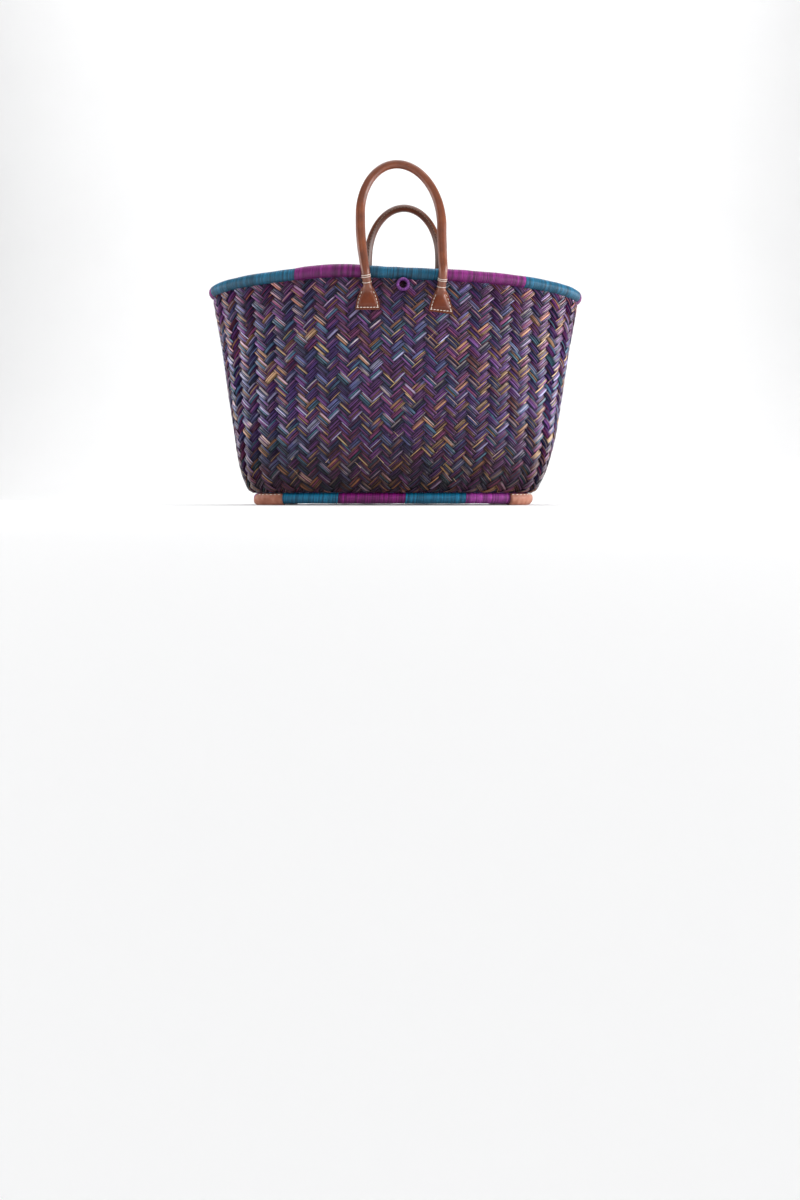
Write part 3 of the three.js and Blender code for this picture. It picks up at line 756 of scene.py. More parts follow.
# vegetable-tanned hide rubbed by hands: warm brown clouds, and a soft gloss where it is most worn
handle_leather = tanned_leather("rubbed_cowhide", "#5b260f", "#6b2e15", "#7b3b1d",
                                gloss=(0.28, 0.42), shine=0.7, IOR=1.5)
# the same hide left pale and scuffed by the ground: dull, with lighter patches
corner_leather = tanned_leather("scuffed_cowhide", "#8b513b", "#a66852", "#c08872",
                                gloss=(0.5, 0.7), shine=0.5, IOR=1.5)
# twisted and waxed linen: nearly white, with a slight shine along the thread
waxed_thread = dyed_strands("waxed_linen_thread", THREAD_FIBRE_MM, THREAD_FIBRE_LENGTH_MM,
                            streaks=(0.8, 1.15), gloss=(0.45, 0.6), relief_mm=0.1, shine=0.5, IOR=1.5)
CREAM = linear("#f0e6da")
print("materials:", handle_leather.name, corner_leather.name, waxed_thread.name)


# %% Threads and stitches
THREAD_SIDES, STITCH_STEPS = 6, 7
THREAD_TINTS, THREAD_GRAIN = (0.85, 1.1), 0.5
STITCH_ARCH, STITCH_TAPER = 0.45, 0.35


def threads(paths, outs, radii, tints):
    """Round threads along paths (threads x stations x 3), with a direction away from what they lie on."""
    along = unit(np.gradient(paths, axis=1))
    outs = unit(outs - along * (outs * along).sum(axis=-1, keepdims=True))
    across = np.cross(outs, along)
    turn = np.linspace(0, 2 * math.pi, THREAD_SIDES, endpoint=False)[:, None]
    rings = paths[:, :, None] + radii[:, None, None] * (np.cos(turn) * across[:, :, None]
                                                        + np.sin(turn) * outs[:, :, None])
    points, faces = closed_tubes(rings)
    run = np.cumsum(np.linalg.norm(np.gradient(paths, axis=1), axis=2), axis=1)
    grain = np.zeros(rings.shape)
    grain[..., 0] = turn[:, 0] * THREAD_GRAIN
    grain[..., 1] = run[..., None]
    dye_and_light = np.broadcast_to(tints[:, None, None], rings.shape)
    return dict(points=points, faces=faces, dye_and_light=dye_and_light.reshape(-1, 3), grain=grain.reshape(-1, 3))


def stitches(middles, alongs, outs, length, thick, tint):
    """Short arched threads that dive into the leather: one row of middles and directions for each."""
    steps = np.linspace(-1, 1, STITCH_STEPS)
    paths = (middles[:, None] + unit(alongs)[:, None] * (steps * length / 2)[:, None]
             + unit(outs)[:, None] * (thick * (STITCH_ARCH - steps**4))[:, None])
    tints = rng.uniform(*THREAD_TINTS, (len(middles), 1)) * tint
    radii = thick / 2 * (1 - STITCH_TAPER * steps**6)
    return threads(paths, unit(outs)[:, None], radii, tints)


# %% [markdown]
# ## Leather corners
# A strip of leather is folded round the foot ring at each corner and sewn along its two upper edges. The
# bag stands on these, so they are flattened underneath. A sheet could be bent round the ring, but a
# sweep keeps its lips along the ring at every bend, so the section is an open C, swept along it. One end
# of the left front corner is cut on the slant, so a little raffia shows above it.

# %% Corners
CORNER_LENGTH = 48
CORNER_PLACES = [-163, 174, 288, -289]
CORNER_CUTS = [15, 0, 0, 0]
CORNER_INSIDE, CORNER_THICK = 7.5, 2.0
CORNER_OPEN = math.radians(48)
CORNER_STEPS, CORNER_POINTS = 33, 30
CORNER_LIP = 0.45
# how much thinner and darker the leather gets at the ends of a sleeve, and over what length
END_THIN, END_THIN_REACH = 0.7, 1.6
END_DARK, END_DARK_REACH = 0.35, 2.5
FOLD, FOLD_PER_MM, FOLD_TWIST = 0.18, 0.9, 3
# stitches: reach each way from the middle of a sleeve, pitch, length, thickness, angle from the lip
CORNER_SEAM_FROM, CORNER_SEAM_TO, CORNER_PITCH = -20.8, 21, 5.2
CORNER_STITCH, CORNER_THREAD, CORNER_SEAM_TURN = 3.4, 0.9, 0.24


def corner_section():
    """Reach and angle of the points of the C, from the outer lip round below, and back inside."""
    turn = np.linspace(CORNER_OPEN, 2 * math.pi - CORNER_OPEN, CORNER_POINTS)
    outer = np.full(len(turn), CORNER_INSIDE + CORNER_THICK)
    outer[[0, -1]] -= CORNER_LIP
    inner = np.full(len(turn), CORNER_INSIDE)
    inner[[0, -1]] += CORNER_LIP
    return np.concatenate([outer, inner]), np.concatenate([turn, turn[::-1]])


def corner(place, cut):
    """A sleeve. cut: how far its first end is cut back at the top."""
    reach, turn = corner_section()
    way = np.linspace(0, 1, CORNER_STEPS)[:, None]
    spots = place + CORNER_LENGTH * (way - 0.5) + cut * (1 - way) * (1 + np.cos(turn)) / 2
    centres, outs = foot_loop.at(spots)
    edge = CORNER_LENGTH * np.minimum(way, 1 - way)
    outside = reach > CORNER_INSIDE + CORNER_THICK / 2
    thin = np.where(outside, END_THIN * (1 - smooth_step(edge, 0, END_THIN_REACH)), 0.0)
    folds = FOLD * np.sin(spots * FOLD_PER_MM + FOLD_TWIST * np.sin(turn)) * outside
    length = (reach - thin + folds)[..., None]
    up = np.array([0.0, 0.0, 1.0])
    rings = centres + length * (np.cos(turn)[:, None] * up + np.sin(turn)[:, None] * outs)
    rings[..., 2] = np.maximum(rings[..., 2], 0.0)
    points, faces = closed_tubes(rings[None])
    shade = 1 - END_DARK * (1 - smooth_step(edge, 0, END_DARK_REACH))
    dye_and_light = np.repeat(np.repeat(shade, len(turn), axis=1).reshape(-1, 1), 3, axis=1)
    return dict(points=points, faces=faces, dye_and_light=dye_and_light, grain=points * 1.0)


def corner_seam(place, turn, cut):
    """Stitches along one upper edge of a sleeve, which lies at an angle from straight up."""
    spots = place + np.arange(CORNER_SEAM_FROM + cut, CORNER_SEAM_TO, CORNER_PITCH)
    centres, outs = foot_loop.at(spots)
    ways = foot_loop.at(spots + 1)[0] - foot_loop.at(spots - 1)[0]
    away = math.cos(turn) * np.array([0.0, 0.0, 1.0]) + math.sin(turn) * outs
    middles = centres + away * (CORNER_INSIDE + CORNER_THICK)
    return stitches(middles, ways, away, CORNER_STITCH, CORNER_THREAD, CREAM)


corner_nodes = [f"corner_cap_{k}" for k in range(1, len(CORNER_PLACES) + 1)]
for place, cut, node in zip(CORNER_PLACES, CORNER_CUTS, corner_nodes):
    add_piece(node.replace("cap", "sleeve"), corner(place, cut), corner_leather, [node])
seam_turns = (CORNER_OPEN + CORNER_SEAM_TURN, 2 * math.pi - CORNER_OPEN - CORNER_SEAM_TURN)
seams = [corner_seam(place, turn, cut)
         for place, cut in zip(CORNER_PLACES, CORNER_CUTS) for turn in seam_turns]
add_piece("corner_stitches", merged(seams), waxed_thread, corner_nodes)

# %% [markdown]
# ## Handles
# A handle is a strip of leather rolled round a cord and sewn along the inside, with each end opened flat
# into a tab and sewn to the wall. A tube and two plates would show where they join, so one sweep makes
# it all: the section starts as a flat tab with a dome, turns into a round roll with a raised seam, and
# goes back to a tab. The line follows the solids' line, drawn smooth. The back handle's legs stand a
# little further apart, and its leather has painted shade.

# %% Seats on the wall and a smooth line
# height of the bottom for the first guess at a seat, then tries to come closer
LOWEST, SEAT_TRIES, NUDGE = 16, 8, 1e-3


def wall_seat(x, height, side):
    """The outer face's point at an x and a height, and its outward direction. side: -1 front, 1 back."""
    around = x / wall_girth[-1]
    up = (height - LOWEST) / (RIM_HEIGHT - LOWEST)
    place = np.array([around if side < 0 else 0.5 - around, up])
    for _ in range(SEAT_TRIES):
        here = on_wall(*place)[0][[0, 2]]
        slopes = [(on_wall(*(place + step))[0][[0, 2]] - here) / NUDGE for step in np.eye(2) * NUDGE]
        place = place + np.linalg.solve(np.array(slopes).T, np.array([x, height]) - here)
    return on_wall(*place)


def smooth_line(points, per_span):
    """A smooth curve through rows of any columns."""
    padded = np.vstack([2 * points[0] - points[1], points, 2 * points[-1] - points[-2]])
    rows = []
    for k in range(1, len(padded) - 2):
        a, b, c, d = padded[k - 1:k + 3]
        f = np.linspace(0, 1, per_span, endpoint=False)[:, None]
        rows.append(b + f / 2 * (c - a) + f**2 * (a - 2.5 * b + 2 * c - d / 2)
                    + f**3 * (1.5 * (b - c) + (d - a) / 2))
    return np.vstack(rows + [points[-1:]])


# %% The handle's line
HANDLE_X = 9
HANDLE_WIDE = 10.5
LEFT_TAB, RIGHT_TAB = -43, 48.5
# these differ by side: -1 is the front handle, 1 the back one
LEFT_LEG, RIGHT_LEG = {-1: -45.5, 1: -49.5}, {-1: 51, 1: 54.5}
ARCH_SHIFT, ARCH_HALF_WIDTH = {-1: -1.5, 1: -2.5}, {-1: 50.6, 1: 51.6}
ARCH_SKEW = {-1: 5, 1: 0.5}
ARCH_RISE = 72
SHOULDER, APEX_OUT = 355, 100
TAB_BOTTOM, TAB_TOP, TAB_WIDE = 244.5, 275, 31
RIGHT_TAB_DROP = 3.5
TAB_THIN, TAB_FALL = 3.0, 0.6
TAB_STEPS, LEG_STEPS, ARCH_STEPS, LINE_STEPS = 4, 4, 12, 8
CROSSING_GAP, TAB_GAP = 0.9, 0.6


def tab_thickness(spread):
    """From the roll's thickness (spread 0) to that of the tab's lower edge (spread 1)."""
    return blend(HANDLE_WIDE, TAB_THIN, spread**TAB_FALL)


def handle_line(side):
    """Rows of centre, outward direction and spread, from the left tab over the arch to the right one."""
    crossing = -wall_seat(HANDLE_X + LEFT_LEG[-1], RIM_HEIGHT - RIM_HALF_UP, -1)[0][1]
    crossing += RIM_HALF_OUT - WALL / 2 + CROSSING_GAP + HANDLE_WIDE / 2

    def free(x, height):
        lean = (height - RIM_HEIGHT) / (SHOULDER + ARCH_RISE - RIM_HEIGHT)
        return [HANDLE_X - side * x, side * blend(crossing, APEX_OUT, lean), height, 0, side, 0, 0]

    def leg(tab_x, drop, leg_x, shoulder_x):
        rows = []
        for spread in np.linspace(1, 0, TAB_STEPS + 1):
            height = blend(TAB_TOP, TAB_BOTTOM, spread) - drop
            point, out = wall_seat(HANDLE_X - side * tab_x, height, side)
            rows.append([*(point + out * (TAB_GAP + tab_thickness(spread) / 2)), *out, spread])
        for part in np.arange(LEG_STEPS) / LEG_STEPS:
            rows.append(free(blend(leg_x, shoulder_x, math.sin(part * math.pi / 2)),
                             blend(RIM_HEIGHT, SHOULDER, part)))
        return rows

    arch = []
    for angle in math.pi * (1 - np.arange(ARCH_STEPS + 1) / ARCH_STEPS):
        x = ARCH_SHIFT[side] + ARCH_HALF_WIDTH[side] * math.cos(angle) - ARCH_SKEW[side] * math.sin(angle)
        arch.append(free(x, SHOULDER + ARCH_RISE * math.sin(angle)))
    left = leg(LEFT_TAB, 0, LEFT_LEG[side], ARCH_SHIFT[side] - ARCH_HALF_WIDTH[side])
    right = leg(RIGHT_TAB, RIGHT_TAB_DROP, RIGHT_LEG[side], ARCH_SHIFT[side] + ARCH_HALF_WIDTH[side])
    return smooth_line(np.array(left + arch + right[::-1]), LINE_STEPS)


def handle_frames(line):
    """Centre, direction, across, outward direction and spread at each station of a handle."""
    along = unit(np.gradient(line[:, :3], axis=0))
    outs = line[:, 3:6]
    outs = unit(outs - along * (outs * along).sum(axis=1, keepdims=True))
    return line[:, :3], along, np.cross(along, outs), outs, np.clip(line[:, 6], 0, 1)


# %% The handle's section
HANDLE_SIDES = 48
# height of a station, width of the roll there
ROLL_WIDTHS = np.array([[270, 10.4], [292, 11.0], [325, 12.0], [360, 11.8], [400, 10.8], [427, 10.4]])
TAB_EDGE, TAB_BORDER = 1.6, 3.2
# the dome's height at the neck and at the lower edge, and where it begins above that edge
DOME_HIGH, DOME_LOW, DOME_FROM, DOME_TO = 8.0, 2.0, 3.6, 7.5
SEAM_RIDGE, SEAM_REACH = 0.8, 0.3
# spreads over which the border sets in, and the roll turns into the tab
BORDER_FROM, BORDER_TO = 0.05, 0.3
FLAT_FROM, FLAT_TO = 0.02, 0.3
NEARLY_ZERO = 1e-9
turns = np.linspace(0, 2 * math.pi, HANDLE_SIDES, endpoint=False)
from_seam = np.angle(np.exp(1j * (turns + math.pi / 2)))
seam_bulge = np.exp(-((from_seam / SEAM_REACH) ** 2))


def tab_width(spread, height, flare):
    """Width of the leather: the roll's, and a bell shape down to the tab's lower edge."""
    neck = np.interp(height, ROLL_WIDTHS[:, 0], ROLL_WIDTHS[:, 1])
    return blend(neck, TAB_WIDE, 1 - (1 - spread) ** flare)


def tab_face(x, spread, wide):
    """Height of a tab's face over its back: a flat border, and a dome where the roll runs out."""
    inner = wide / 2 - TAB_BORDER * smooth_step(spread, BORDER_FROM, BORDER_TO)
    above_edge = (1 - spread) * (TAB_TOP - TAB_BOTTOM)
    dome = blend(DOME_HIGH, DOME_LOW, spread**TAB_FALL) * smooth_step(above_edge, DOME_FROM, DOME_TO)
    return TAB_EDGE + dome * np.sqrt(np.clip(1 - (x / inner) ** 2, 0, 1))


def handle_section(spread, height, flare):
    """Across and out of a section's points: a round roll with a seam inside, or a flat tab with a dome."""
    c, s = np.cos(turns), np.sin(turns)
    wide = tab_width(spread, height, flare)
    seam = SEAM_RIDGE * seam_bulge * (1 - spread)
    roll = np.column_stack([(wide / 2 + seam) * c, (HANDLE_WIDE / 2 + seam) * s])
    back = -tab_thickness(spread) / 2
    tab_out = np.where(s > NEARLY_ZERO, tab_face(c * wide / 2, spread, wide), 0)
    tab_out[np.abs(s) <= NEARLY_ZERO] = TAB_EDGE / 2
    tab = np.column_stack([c * wide / 2, back + tab_out])
    return blend(roll, tab, smooth_step(spread, FLAT_FROM, FLAT_TO))


# %% A whole handle
LEFT_FLARE, RIGHT_FLARE = 2.0, 1.6
TAB_TILT = 0.12
SEAM_DARK, EDGE_DARK, EDGE_WIDE, EDGE_FROM = 0.4, 0.2, 1.2, 0.15
# painted light on the rolls beside the tabs, in linear light: a painted reflection of the white room makes
# the front one paler, painted shade makes the back one darker
ROLL_LIGHT = {-1: np.array([1.35, 1.75, 2.2]), 1: np.array([0.75, 0.95, 1.25])}
TAB_SHINE, TAB_FROM = 0.57, 0.5
# painted shade: the back roll is darkest and dull behind the rim, and clear of it further up
SHADE_FROM, SHADE_TO = RIM_HEIGHT + 15, SHOULDER + 20
BACK_SHADE, BACK_SHINE = 0.4, 0.8


def tilted(points, line, side):
    """Turns the lower edge of the right tab down towards the right."""
    right_leg = (np.arange(len(line)) > len(line) / 2)[:, None]
    away = (points[..., 0] - line[:, :1]) * -side
    points[..., 2] -= TAB_TILT * away * np.clip(line[:, 6:7], 0, 1) ** 2 * right_leg
    return points


def handle(line, side):
    """A whole handle along its line, shaded at its seam and edges."""
    centres, _, across, outs, spreads = handle_frames(line)
    flares = np.where(np.arange(len(line)) < len(line) / 2, LEFT_FLARE, RIGHT_FLARE)
    sections = np.array([handle_section(*row) for row in zip(spreads, centres[:, 2], flares)])
    rings = centres[:, None] + sections[..., :1] * across[:, None] + sections[..., 1:] * outs[:, None]
    points, faces = closed_tubes(tilted(rings, line, side)[None])
    aside = np.abs(sections[..., 0])
    edge = aside > aside.max(axis=1, keepdims=True) - EDGE_WIDE
    spread = spreads[:, None]
    shade = 1 - SEAM_DARK * seam_bulge * (1 - spread) - EDGE_DARK * edge * (spread > EDGE_FROM)
    flat = smooth_step(spreads, 0, TAB_FROM)
    # painted light on the rolls, fading out into the tabs
    painted_light = blend(ROLL_LIGHT[side], 1.0, flat[:, None])
    shine = blend(1.0, TAB_SHINE, flat)
    if side > 0:
        # painted shade and less shine on the back roll behind the rim
        clear_of_painted_shade = smooth_step(centres[:, 2], SHADE_FROM, SHADE_TO)
        painted_light = painted_light * blend(BACK_SHADE, 1.0, clear_of_painted_shade)[:, None]
        shine = shine * blend(0.0, BACK_SHINE, clear_of_painted_shade)
    dye_and_light = np.empty((*shade.shape, 4))
    dye_and_light[..., :3] = shade[..., None] * painted_light[:, None]
    dye_and_light[..., 3] = shine[:, None]
    return dict(points=points, faces=faces, dye_and_light=dye_and_light.reshape(-1, 4), grain=points * 1.0)


# %% [markdown]
# ## Stitches of the handles
# White thread crosses the neck of each leg under the rim and goes down the sides and along the bottom of
# each tab. The seam inside the roll is sewn with finer, browner thread. Painted dashes would lie flat, so
# each stitch is a short thread of its own that arches over the leather and dives into it.

# %% Seams and bands
TAN_THREAD = linear("#866651")
# the roll's seam: pitch, length and thickness of a stitch, lift, and how far from the ends it stops
SEAM_PITCH, SEAM_STITCH, SEAM_THREAD, SEAM_LIFT, SEAM_STOP = 4.6, 3.4, 0.8, 0.7, 50
# a tab's seams: pitch, length and thickness of a stitch, where the sides begin and end, and where the hem is
TAB_PITCH, TAB_STITCH, TAB_THREAD = 4.1, 2.9, 0.95
TAB_SIDES_FROM, TAB_SIDES_TO, TAB_HEM = 4.9, 28, (2.9, 3.7)
TAB_SEAM_INSET, HEM_STITCHES = 2.7, np.arange(-3, 4)
# heights of the bands of thread on the left and the right neck
NECK_BANDS = ((286.2, 284.4, 278.4), (281.8, 280.0, 272.8))
BAND_THREAD, BAND_LIFT = 0.8, 0.25
# ends of a band, in half turns about the leg, and its points
BAND_FROM, BAND_TO, BAND_POINTS = -0.12, 1.12, 19


def spaced(line, spots):
    """Rows of a line at distances from its start."""
    run = np.concatenate([[0], np.cumsum(np.linalg.norm(np.diff(line[:, :3], axis=0), axis=1))])
    return np.column_stack([np.interp(spots, run, column) for column in line.T])


def roll_seam(line):
    """Stitches along the inside of the roll."""
    length = np.linalg.norm(np.diff(line[:, :3], axis=0), axis=1).sum()
    spots = np.arange(SEAM_STOP, length - SEAM_STOP, SEAM_PITCH)
    centres, along, _, outs, _ = handle_frames(spaced(line, spots))
    middles = centres - outs * (HANDLE_WIDE / 2 + SEAM_LIFT)
    return stitches(middles, along, -outs, SEAM_STITCH, SEAM_THREAD, TAN_THREAD)


def tab_seams(line, side, tilt, flare):
    """Stitches down both sides and along the bottom of a tab. The line starts at its lower edge."""
    row = spaced(line, np.arange(TAB_SIDES_FROM, TAB_SIDES_TO, TAB_PITCH))
    centres, _, across, outs, spreads = handle_frames(row)
    wide = tab_width(spreads, centres[:, 2], flare)[:, None]
    lift = outs * (TAB_EDGE - tab_thickness(spreads)[:, None] / 2)
    places = [centres + across * edge * (wide / 2 - TAB_SEAM_INSET) + lift for edge in (-1, 1)]
    ways = [np.gradient(place, axis=0) for place in places]
    outs = [outs, outs]
    centres, _, across, out, spreads = (part[:1] for part in handle_frames(spaced(line, TAB_HEM)))
    shifts = HEM_STITCHES[:, None] * TAB_PITCH
    places.append(centres + across * shifts + out * (TAB_EDGE - tab_thickness(spreads)[:, None] / 2))
    ways.append(np.repeat(across, len(shifts), axis=0))
    outs.append(np.repeat(out, len(shifts), axis=0))
    places, low = np.concatenate(places), line[0, 2]
    share = np.clip(1 - (places[:, 2] - low) / (TAB_TOP - TAB_BOTTOM), 0, 1) ** 2
    places[:, 2] -= tilt * (places[:, 0] - line[0, 0]) * -side * share
    return stitches(places, np.concatenate(ways), np.concatenate(outs), TAB_STITCH, TAB_THREAD, CREAM)


def neck_bands(line, heights, flare):
    """Threads over the front of a leg at the given heights. The line starts at the tab."""
    climb = line[:len(line) // 3]
    parts = []
    for height in heights:
        rows = [[np.interp(z, climb[:, 2], column) for column in climb.T] for z in (height, height + 1)]
        centre, _, across, out, spread = (part[0] for part in handle_frames(np.array(rows)))
        turn = np.linspace(BAND_FROM, BAND_TO, BAND_POINTS)[:, None] * math.pi
        spokes = np.cos(turn) * across + np.sin(turn) * out
        path = centre + spokes * (tab_width(spread, height, flare) / 2 + BAND_LIFT)
        parts.append(threads(path[None], spokes[None], np.full(len(turn), BAND_THREAD / 2), CREAM[None]))
    return merged(parts)


# %% Both handles
for name, side in (("front", -1), ("back", 1)):
    line = handle_line(side)
    add_piece(f"{name}_handle_leather", handle(line, side), handle_leather, [f"handle_{name}"])
    seams = [roll_seam(line)]
    for leg, tilt, flare, bands in ((line, 0.0, LEFT_FLARE, NECK_BANDS[0]),
                                    (line[::-1], TAB_TILT, RIGHT_FLARE, NECK_BANDS[1])):
        seams += [tab_seams(leg, side, tilt, flare), neck_bands(leg, bands, flare)]
    add_piece(f"{name}_handle_stitches", merged(seams), waxed_thread, [f"handle_{name}"])

# %% [markdown]
# ## The closure ring
# A short ring wound with raffia sits under the rim at the front. Its windings go through the hole, so
# they show as lobes round the ring. A ready torus is too smooth for that, so its section is swept round
# with the same ridges as the bindings, and flattened.

# %% Closure ring
RING_X, RING_HEIGHT, RING_GAP = 10, 275.6, 0.7
RING_MIDDLE, RING_HALF_WALL, RING_HALF_DEPTH = 6.55, 1.8, 4.5
RING_WINDINGS, RING_SIDES = 32, 18
RING_RELIEF, RING_FLATNESS, RING_TINTS = 0.7, 0.8, (0.6, 1.25)
RING_GRAIN = 3
RING_DYE = "#7d3f90"


def closure_ring():
    """The ring's tube, closed both ways. It stands out from the wall, with its hole facing forwards."""
    point, out = wall_seat(RING_X, RING_HEIGHT, -1)
    centre = point + out * (RING_HALF_DEPTH + RING_GAP)
    right = unit(np.cross([0.0, 0.0, 1.0], out))
    top = np.cross(out, right)
    steps = RING_WINDINGS * len(WINDING_SHAPE)
    turn = np.linspace(0, 2 * math.pi, steps, endpoint=False)
    around = np.linspace(0, 2 * math.pi, RING_SIDES, endpoint=False)
    relief = np.tile(WINDING_SHAPE[:, 1], RING_WINDINGS) * RING_RELIEF
    # painted shade in the groove of each winding, as on the bindings
    tint = WINDING_SHAPE[:, 2] * rng.uniform(*RING_TINTS, (RING_WINDINGS, 1))
    spoke = np.cos(turn)[:, None] * right + np.sin(turn)[:, None] * top
    reach = RING_MIDDLE + (RING_HALF_WALL + relief[:, None]) * np.cos(around)
    depth = np.sign(np.sin(around)) * np.abs(np.sin(around)) ** RING_FLATNESS
    depth = (RING_HALF_DEPTH + relief[:, None]) * depth
    points = centre + reach[..., None] * spoke[:, None] + depth[..., None] * out
    index = np.arange(steps * RING_SIDES).reshape(steps, RING_SIDES)
    ahead = np.roll(index, -1, 0)
    faces = np.stack([index, ahead, np.roll(ahead, -1, 1), np.roll(index, -1, 1)], -1).reshape(-1, 4)
    grain = np.stack(np.broadcast_arrays(around * RING_GRAIN, turn[:, None] * RING_MIDDLE, 0.0), -1)
    dye_and_light = np.repeat(tint, RING_SIDES)[:, None] * linear(RING_DYE)
    return dict(points=points.reshape(-1, 3), faces=faces.tolist(), dye_and_light=dye_and_light, grain=grain.reshape(-1, 3))


add_piece("closure_ring_raffia", closure_ring(), dyed_raffia, ["closure_ring"])

# %% [markdown]
# ## Loose ends
# A hand-plaited wall always has a few broken straws that stick out, most of them near the bottom. Hair
# could be grown there, but these are few, so each is a thin tapered thread that starts in the plait and
# lifts off it.

# %% Loose straw ends
LOOSE, LOOSE_STEPS = 34, 6
# share of the ends near the bottom; where those and the others start, as shares of the wall's height
LOW_SHARE, LOW_ENDS, HIGH_ENDS = 0.6, (0.06, 0.2), (0.2, 0.95)
LOOSE_LENGTHS, LOOSE_LIFTS, LOOSE_TINTS = (6, 15), (0.8, 3.0), (0.6, 1.4)
LOOSE_START, LOOSE_RADIUS, LOOSE_TAPER = 0.3, 0.42, 0.75
LOOSE_DYE = "#b89a78"


def loose_ends():
    around = rng.uniform(0, 1, (LOOSE, 1))
    low = rng.uniform(0, 1, (LOOSE, 1)) < LOW_SHARE
    up = np.where(low, rng.uniform(*LOW_ENDS, (LOOSE, 1)), rng.uniform(*HIGH_ENDS, (LOOSE, 1)))
    lean = rng.choice([-1, 1], (LOOSE, 1))
    length = rng.uniform(*LOOSE_LENGTHS, (LOOSE, 1))
    steps = np.linspace(0, 1, LOOSE_STEPS)
    drift = length * steps / math.sqrt(2)
    points, outs = on_wall(around + lean * drift / wall_girth[UP_CELLS // 2], up + drift / wall_rise)
    lift = LOOSE_START + rng.uniform(*LOOSE_LIFTS, (LOOSE, 1)) * steps**2
    tints = linear(LOOSE_DYE) * rng.uniform(*LOOSE_TINTS, (LOOSE, 1))
    radii = LOOSE_RADIUS * (1 - LOOSE_TAPER * steps)
    return threads(points + outs * lift[..., None], outs, radii, tints)


add_piece("loose_straw_ends", loose_ends(), dyed_straw, ["basket_body"])

# %% [markdown]
# ## Floor, light and camera
# The bag stands on white paper that sweeps up behind it, because a flat floor would show where it ends.
# Low wide lights at the sides give the straw its pale sheen at both ends of the basket, the right one
# more than the left, and painted sheen in the straws' dye adds to it. A large one overhead lights the rim
# and the handles, and a weak one fills the front.
# Two more only keep the paper white, behind the bag and in front of it. The camera stands level, near the
# height of the foot ring, as for the photograph.

# %% White paper
# matt paper: it takes soft shadows and has no gloss, and is cloudy by so little that it looks even
paper, paper_tree, paper_shader = new_material("white_paper", IOR=1.45, Roughness=0.9,
                                               Specular_IOR_Level=0.2)
paper_place = add_node(paper_tree, "ShaderNodeTexCoord", {}).outputs["Object"]
paper_noise = add_node(paper_tree, "ShaderNodeTexNoise", {"Vector": paper_place, "Scale": 4.0,
                       "Detail": 3.0})
paper_ramp = add_node(paper_tree, "ShaderNodeValToRGB", {"Fac": paper_noise.outputs["Fac"]})
paper_ramp.color_ramp.elements[0].color = (*linear("#f6f6f6"), 1)
paper_ramp.color_ramp.elements[1].color = (*linear("#fbfbfb"), 1)
paper_tree.links.new(paper_ramp.outputs["Color"], paper_shader.inputs["Base Color"])
print("material:", paper.name)

# %% Floor and backdrop
# metres
PAPER_NEAR, PAPER_BEND, PAPER_RADIUS, PAPER_TOP, PAPER_HALF_WIDTH = -3.0, 1.2, 0.8, 3.5, 4.0
PAPER_STEPS, PAPER_FIRST_ANGLE = 24, 0.05
PAPER_DROP = 0.0002


def paper_sweep():
    """A floor that curves up into a backdrop: one sheet, given as rows of points in metres."""
    curve = [(PAPER_NEAR, 0.0), (PAPER_BEND, 0.0)]
    for angle in np.linspace(PAPER_FIRST_ANGLE, math.pi / 2, PAPER_STEPS):
        back = PAPER_BEND + PAPER_RADIUS * math.sin(angle)
        curve.append((back, PAPER_RADIUS - PAPER_RADIUS * math.cos(angle)))
    curve.append((PAPER_BEND + PAPER_RADIUS, PAPER_TOP))
    points = [(x, y, z - PAPER_DROP) for y, z in curve for x in (-PAPER_HALF_WIDTH, PAPER_HALF_WIDTH)]
    faces = [(2 * k, 2 * k + 1, 2 * k + 3, 2 * k + 2) for k in range(len(curve) - 1)]
    return points, faces


paper_points, paper_faces = paper_sweep()
sweep = bpy.data.meshes.new("paper_sweep")
sweep.from_pydata(paper_points, [], paper_faces)
sweep.polygons.foreach_set("use_smooth", np.ones(len(sweep.polygons), dtype=bool))
sweep.materials.append(paper)
floor = bpy.data.objects.new("paper_sweep", sweep)
bpy.context.scene.collection.objects.link(floor)
print("floor:", len(sweep.polygons), "faces")

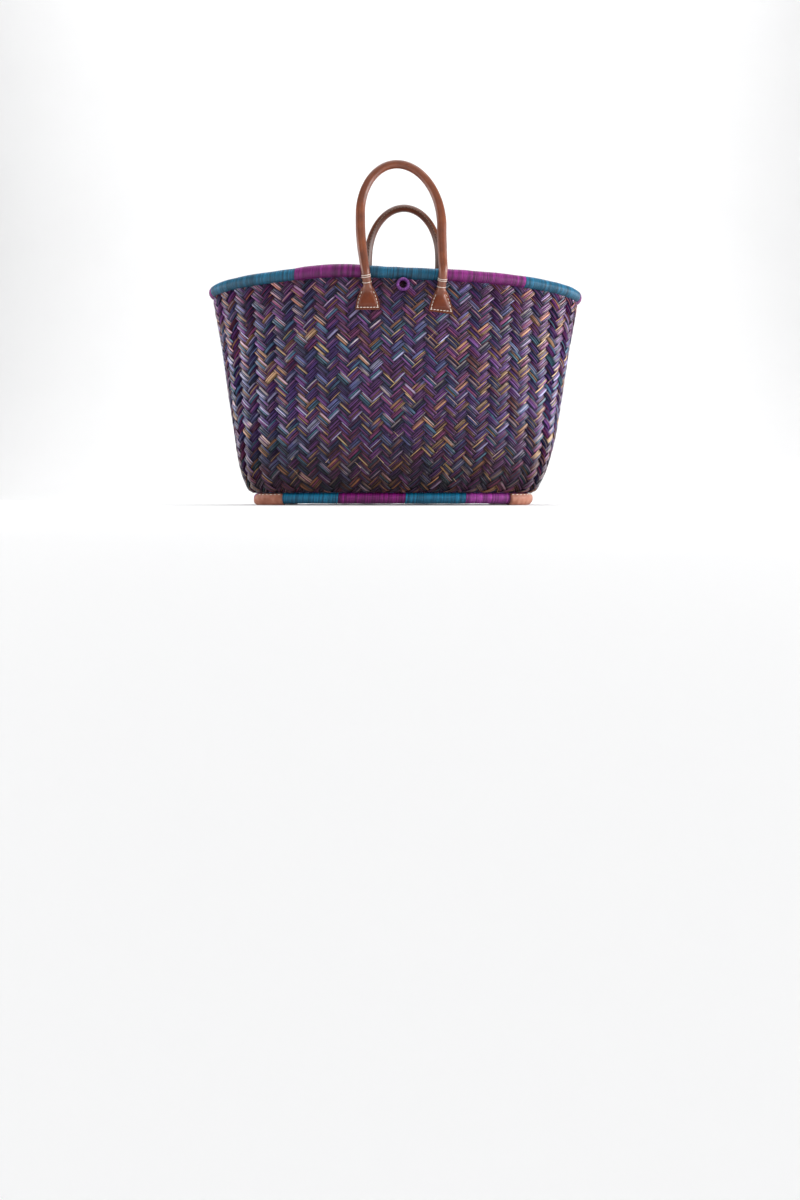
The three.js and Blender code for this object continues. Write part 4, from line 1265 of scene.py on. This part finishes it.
# %% Lights
# name, place, aim, width, height, power in watts
LIGHTS = [
    ("left_softbox", (-1.45, -0.1, 0.4), (0, 0, 0.2), 1.2, 0.55, 11),
    ("right_softbox", (1.4, -0.35, 0.4), (0, 0, 0.2), 1.6, 0.5, 25),
    ("top_softbox", (0.0, -0.8, 2.4), (0, -0.8, 0.0), 3.0, 3.0, 31),
    ("front_fill", (-0.4, -2.6, 1.0), (0, 0, 0.2), 1.6, 1.2, 4),
    ("paper_light", (0.0, 0.7, 2.8), (0, 2.0, 0.5), 3.0, 1.0, 40),
    ("floor_light", (0.0, -1.6, 1.0), (0, -1.55, 0.0), 1.0, 0.6, 1.2),
]


def aimed(thing, place, aim):
    """Puts a light or a camera at a place and turns it towards a point."""
    way = np.array(aim, float) - place
    tilt = math.atan2(way[2], math.hypot(way[0], way[1]))
    heading = math.atan2(way[1], way[0])
    thing.location = place
    thing.rotation_euler = (math.pi / 2 + tilt, 0, heading - math.pi / 2)


for name, place, aim, width, height, power in LIGHTS:
    lamp = bpy.data.lights.new(name, "AREA")
    lamp.shape, lamp.size, lamp.size_y, lamp.energy = "RECTANGLE", width, height, power
    holder = bpy.data.objects.new(name, lamp)
    bpy.context.scene.collection.objects.link(holder)
    aimed(holder, place, aim)
ROOM_COLOUR, ROOM_STRENGTH = "#f4f6fa", 0.13
world = bpy.data.worlds.new("soft_room")
world.use_nodes = True
room = world.node_tree.nodes["Background"]
room.inputs["Color"].default_value = (*linear(ROOM_COLOUR), 1)
room.inputs["Strength"].default_value = ROOM_STRENGTH
bpy.context.scene.world = world
bpy.context.scene.view_settings.view_transform = "Standard"
print("lights:", [row[0] for row in LIGHTS])

# %% Camera
FOCAL_PIXELS, IMAGE_HEIGHT, SENSOR_MM = 1042, 1200, 36
HORIZON_PIXEL = 495.6
CAMERA_X, CAMERA_Y, CAMERA_HEIGHT = 0.0063, -1.405, 0.012
CLIP_START = 0.002
camera = bpy.data.cameras.new("camera")
camera.sensor_width, camera.lens = SENSOR_MM, SENSOR_MM * FOCAL_PIXELS / IMAGE_HEIGHT
camera.shift_y = (HORIZON_PIXEL - IMAGE_HEIGHT / 2) / IMAGE_HEIGHT
camera.clip_start = CLIP_START
viewer = bpy.data.objects.new("camera", camera)
bpy.context.scene.collection.objects.link(viewer)
aimed(viewer, (CAMERA_X, CAMERA_Y, CAMERA_HEIGHT), (CAMERA_X, 0.0, CAMERA_HEIGHT))
bpy.context.scene.camera = viewer
print("lens:", round(camera.lens, 2), "mm, shift:", round(camera.shift_y, 4))
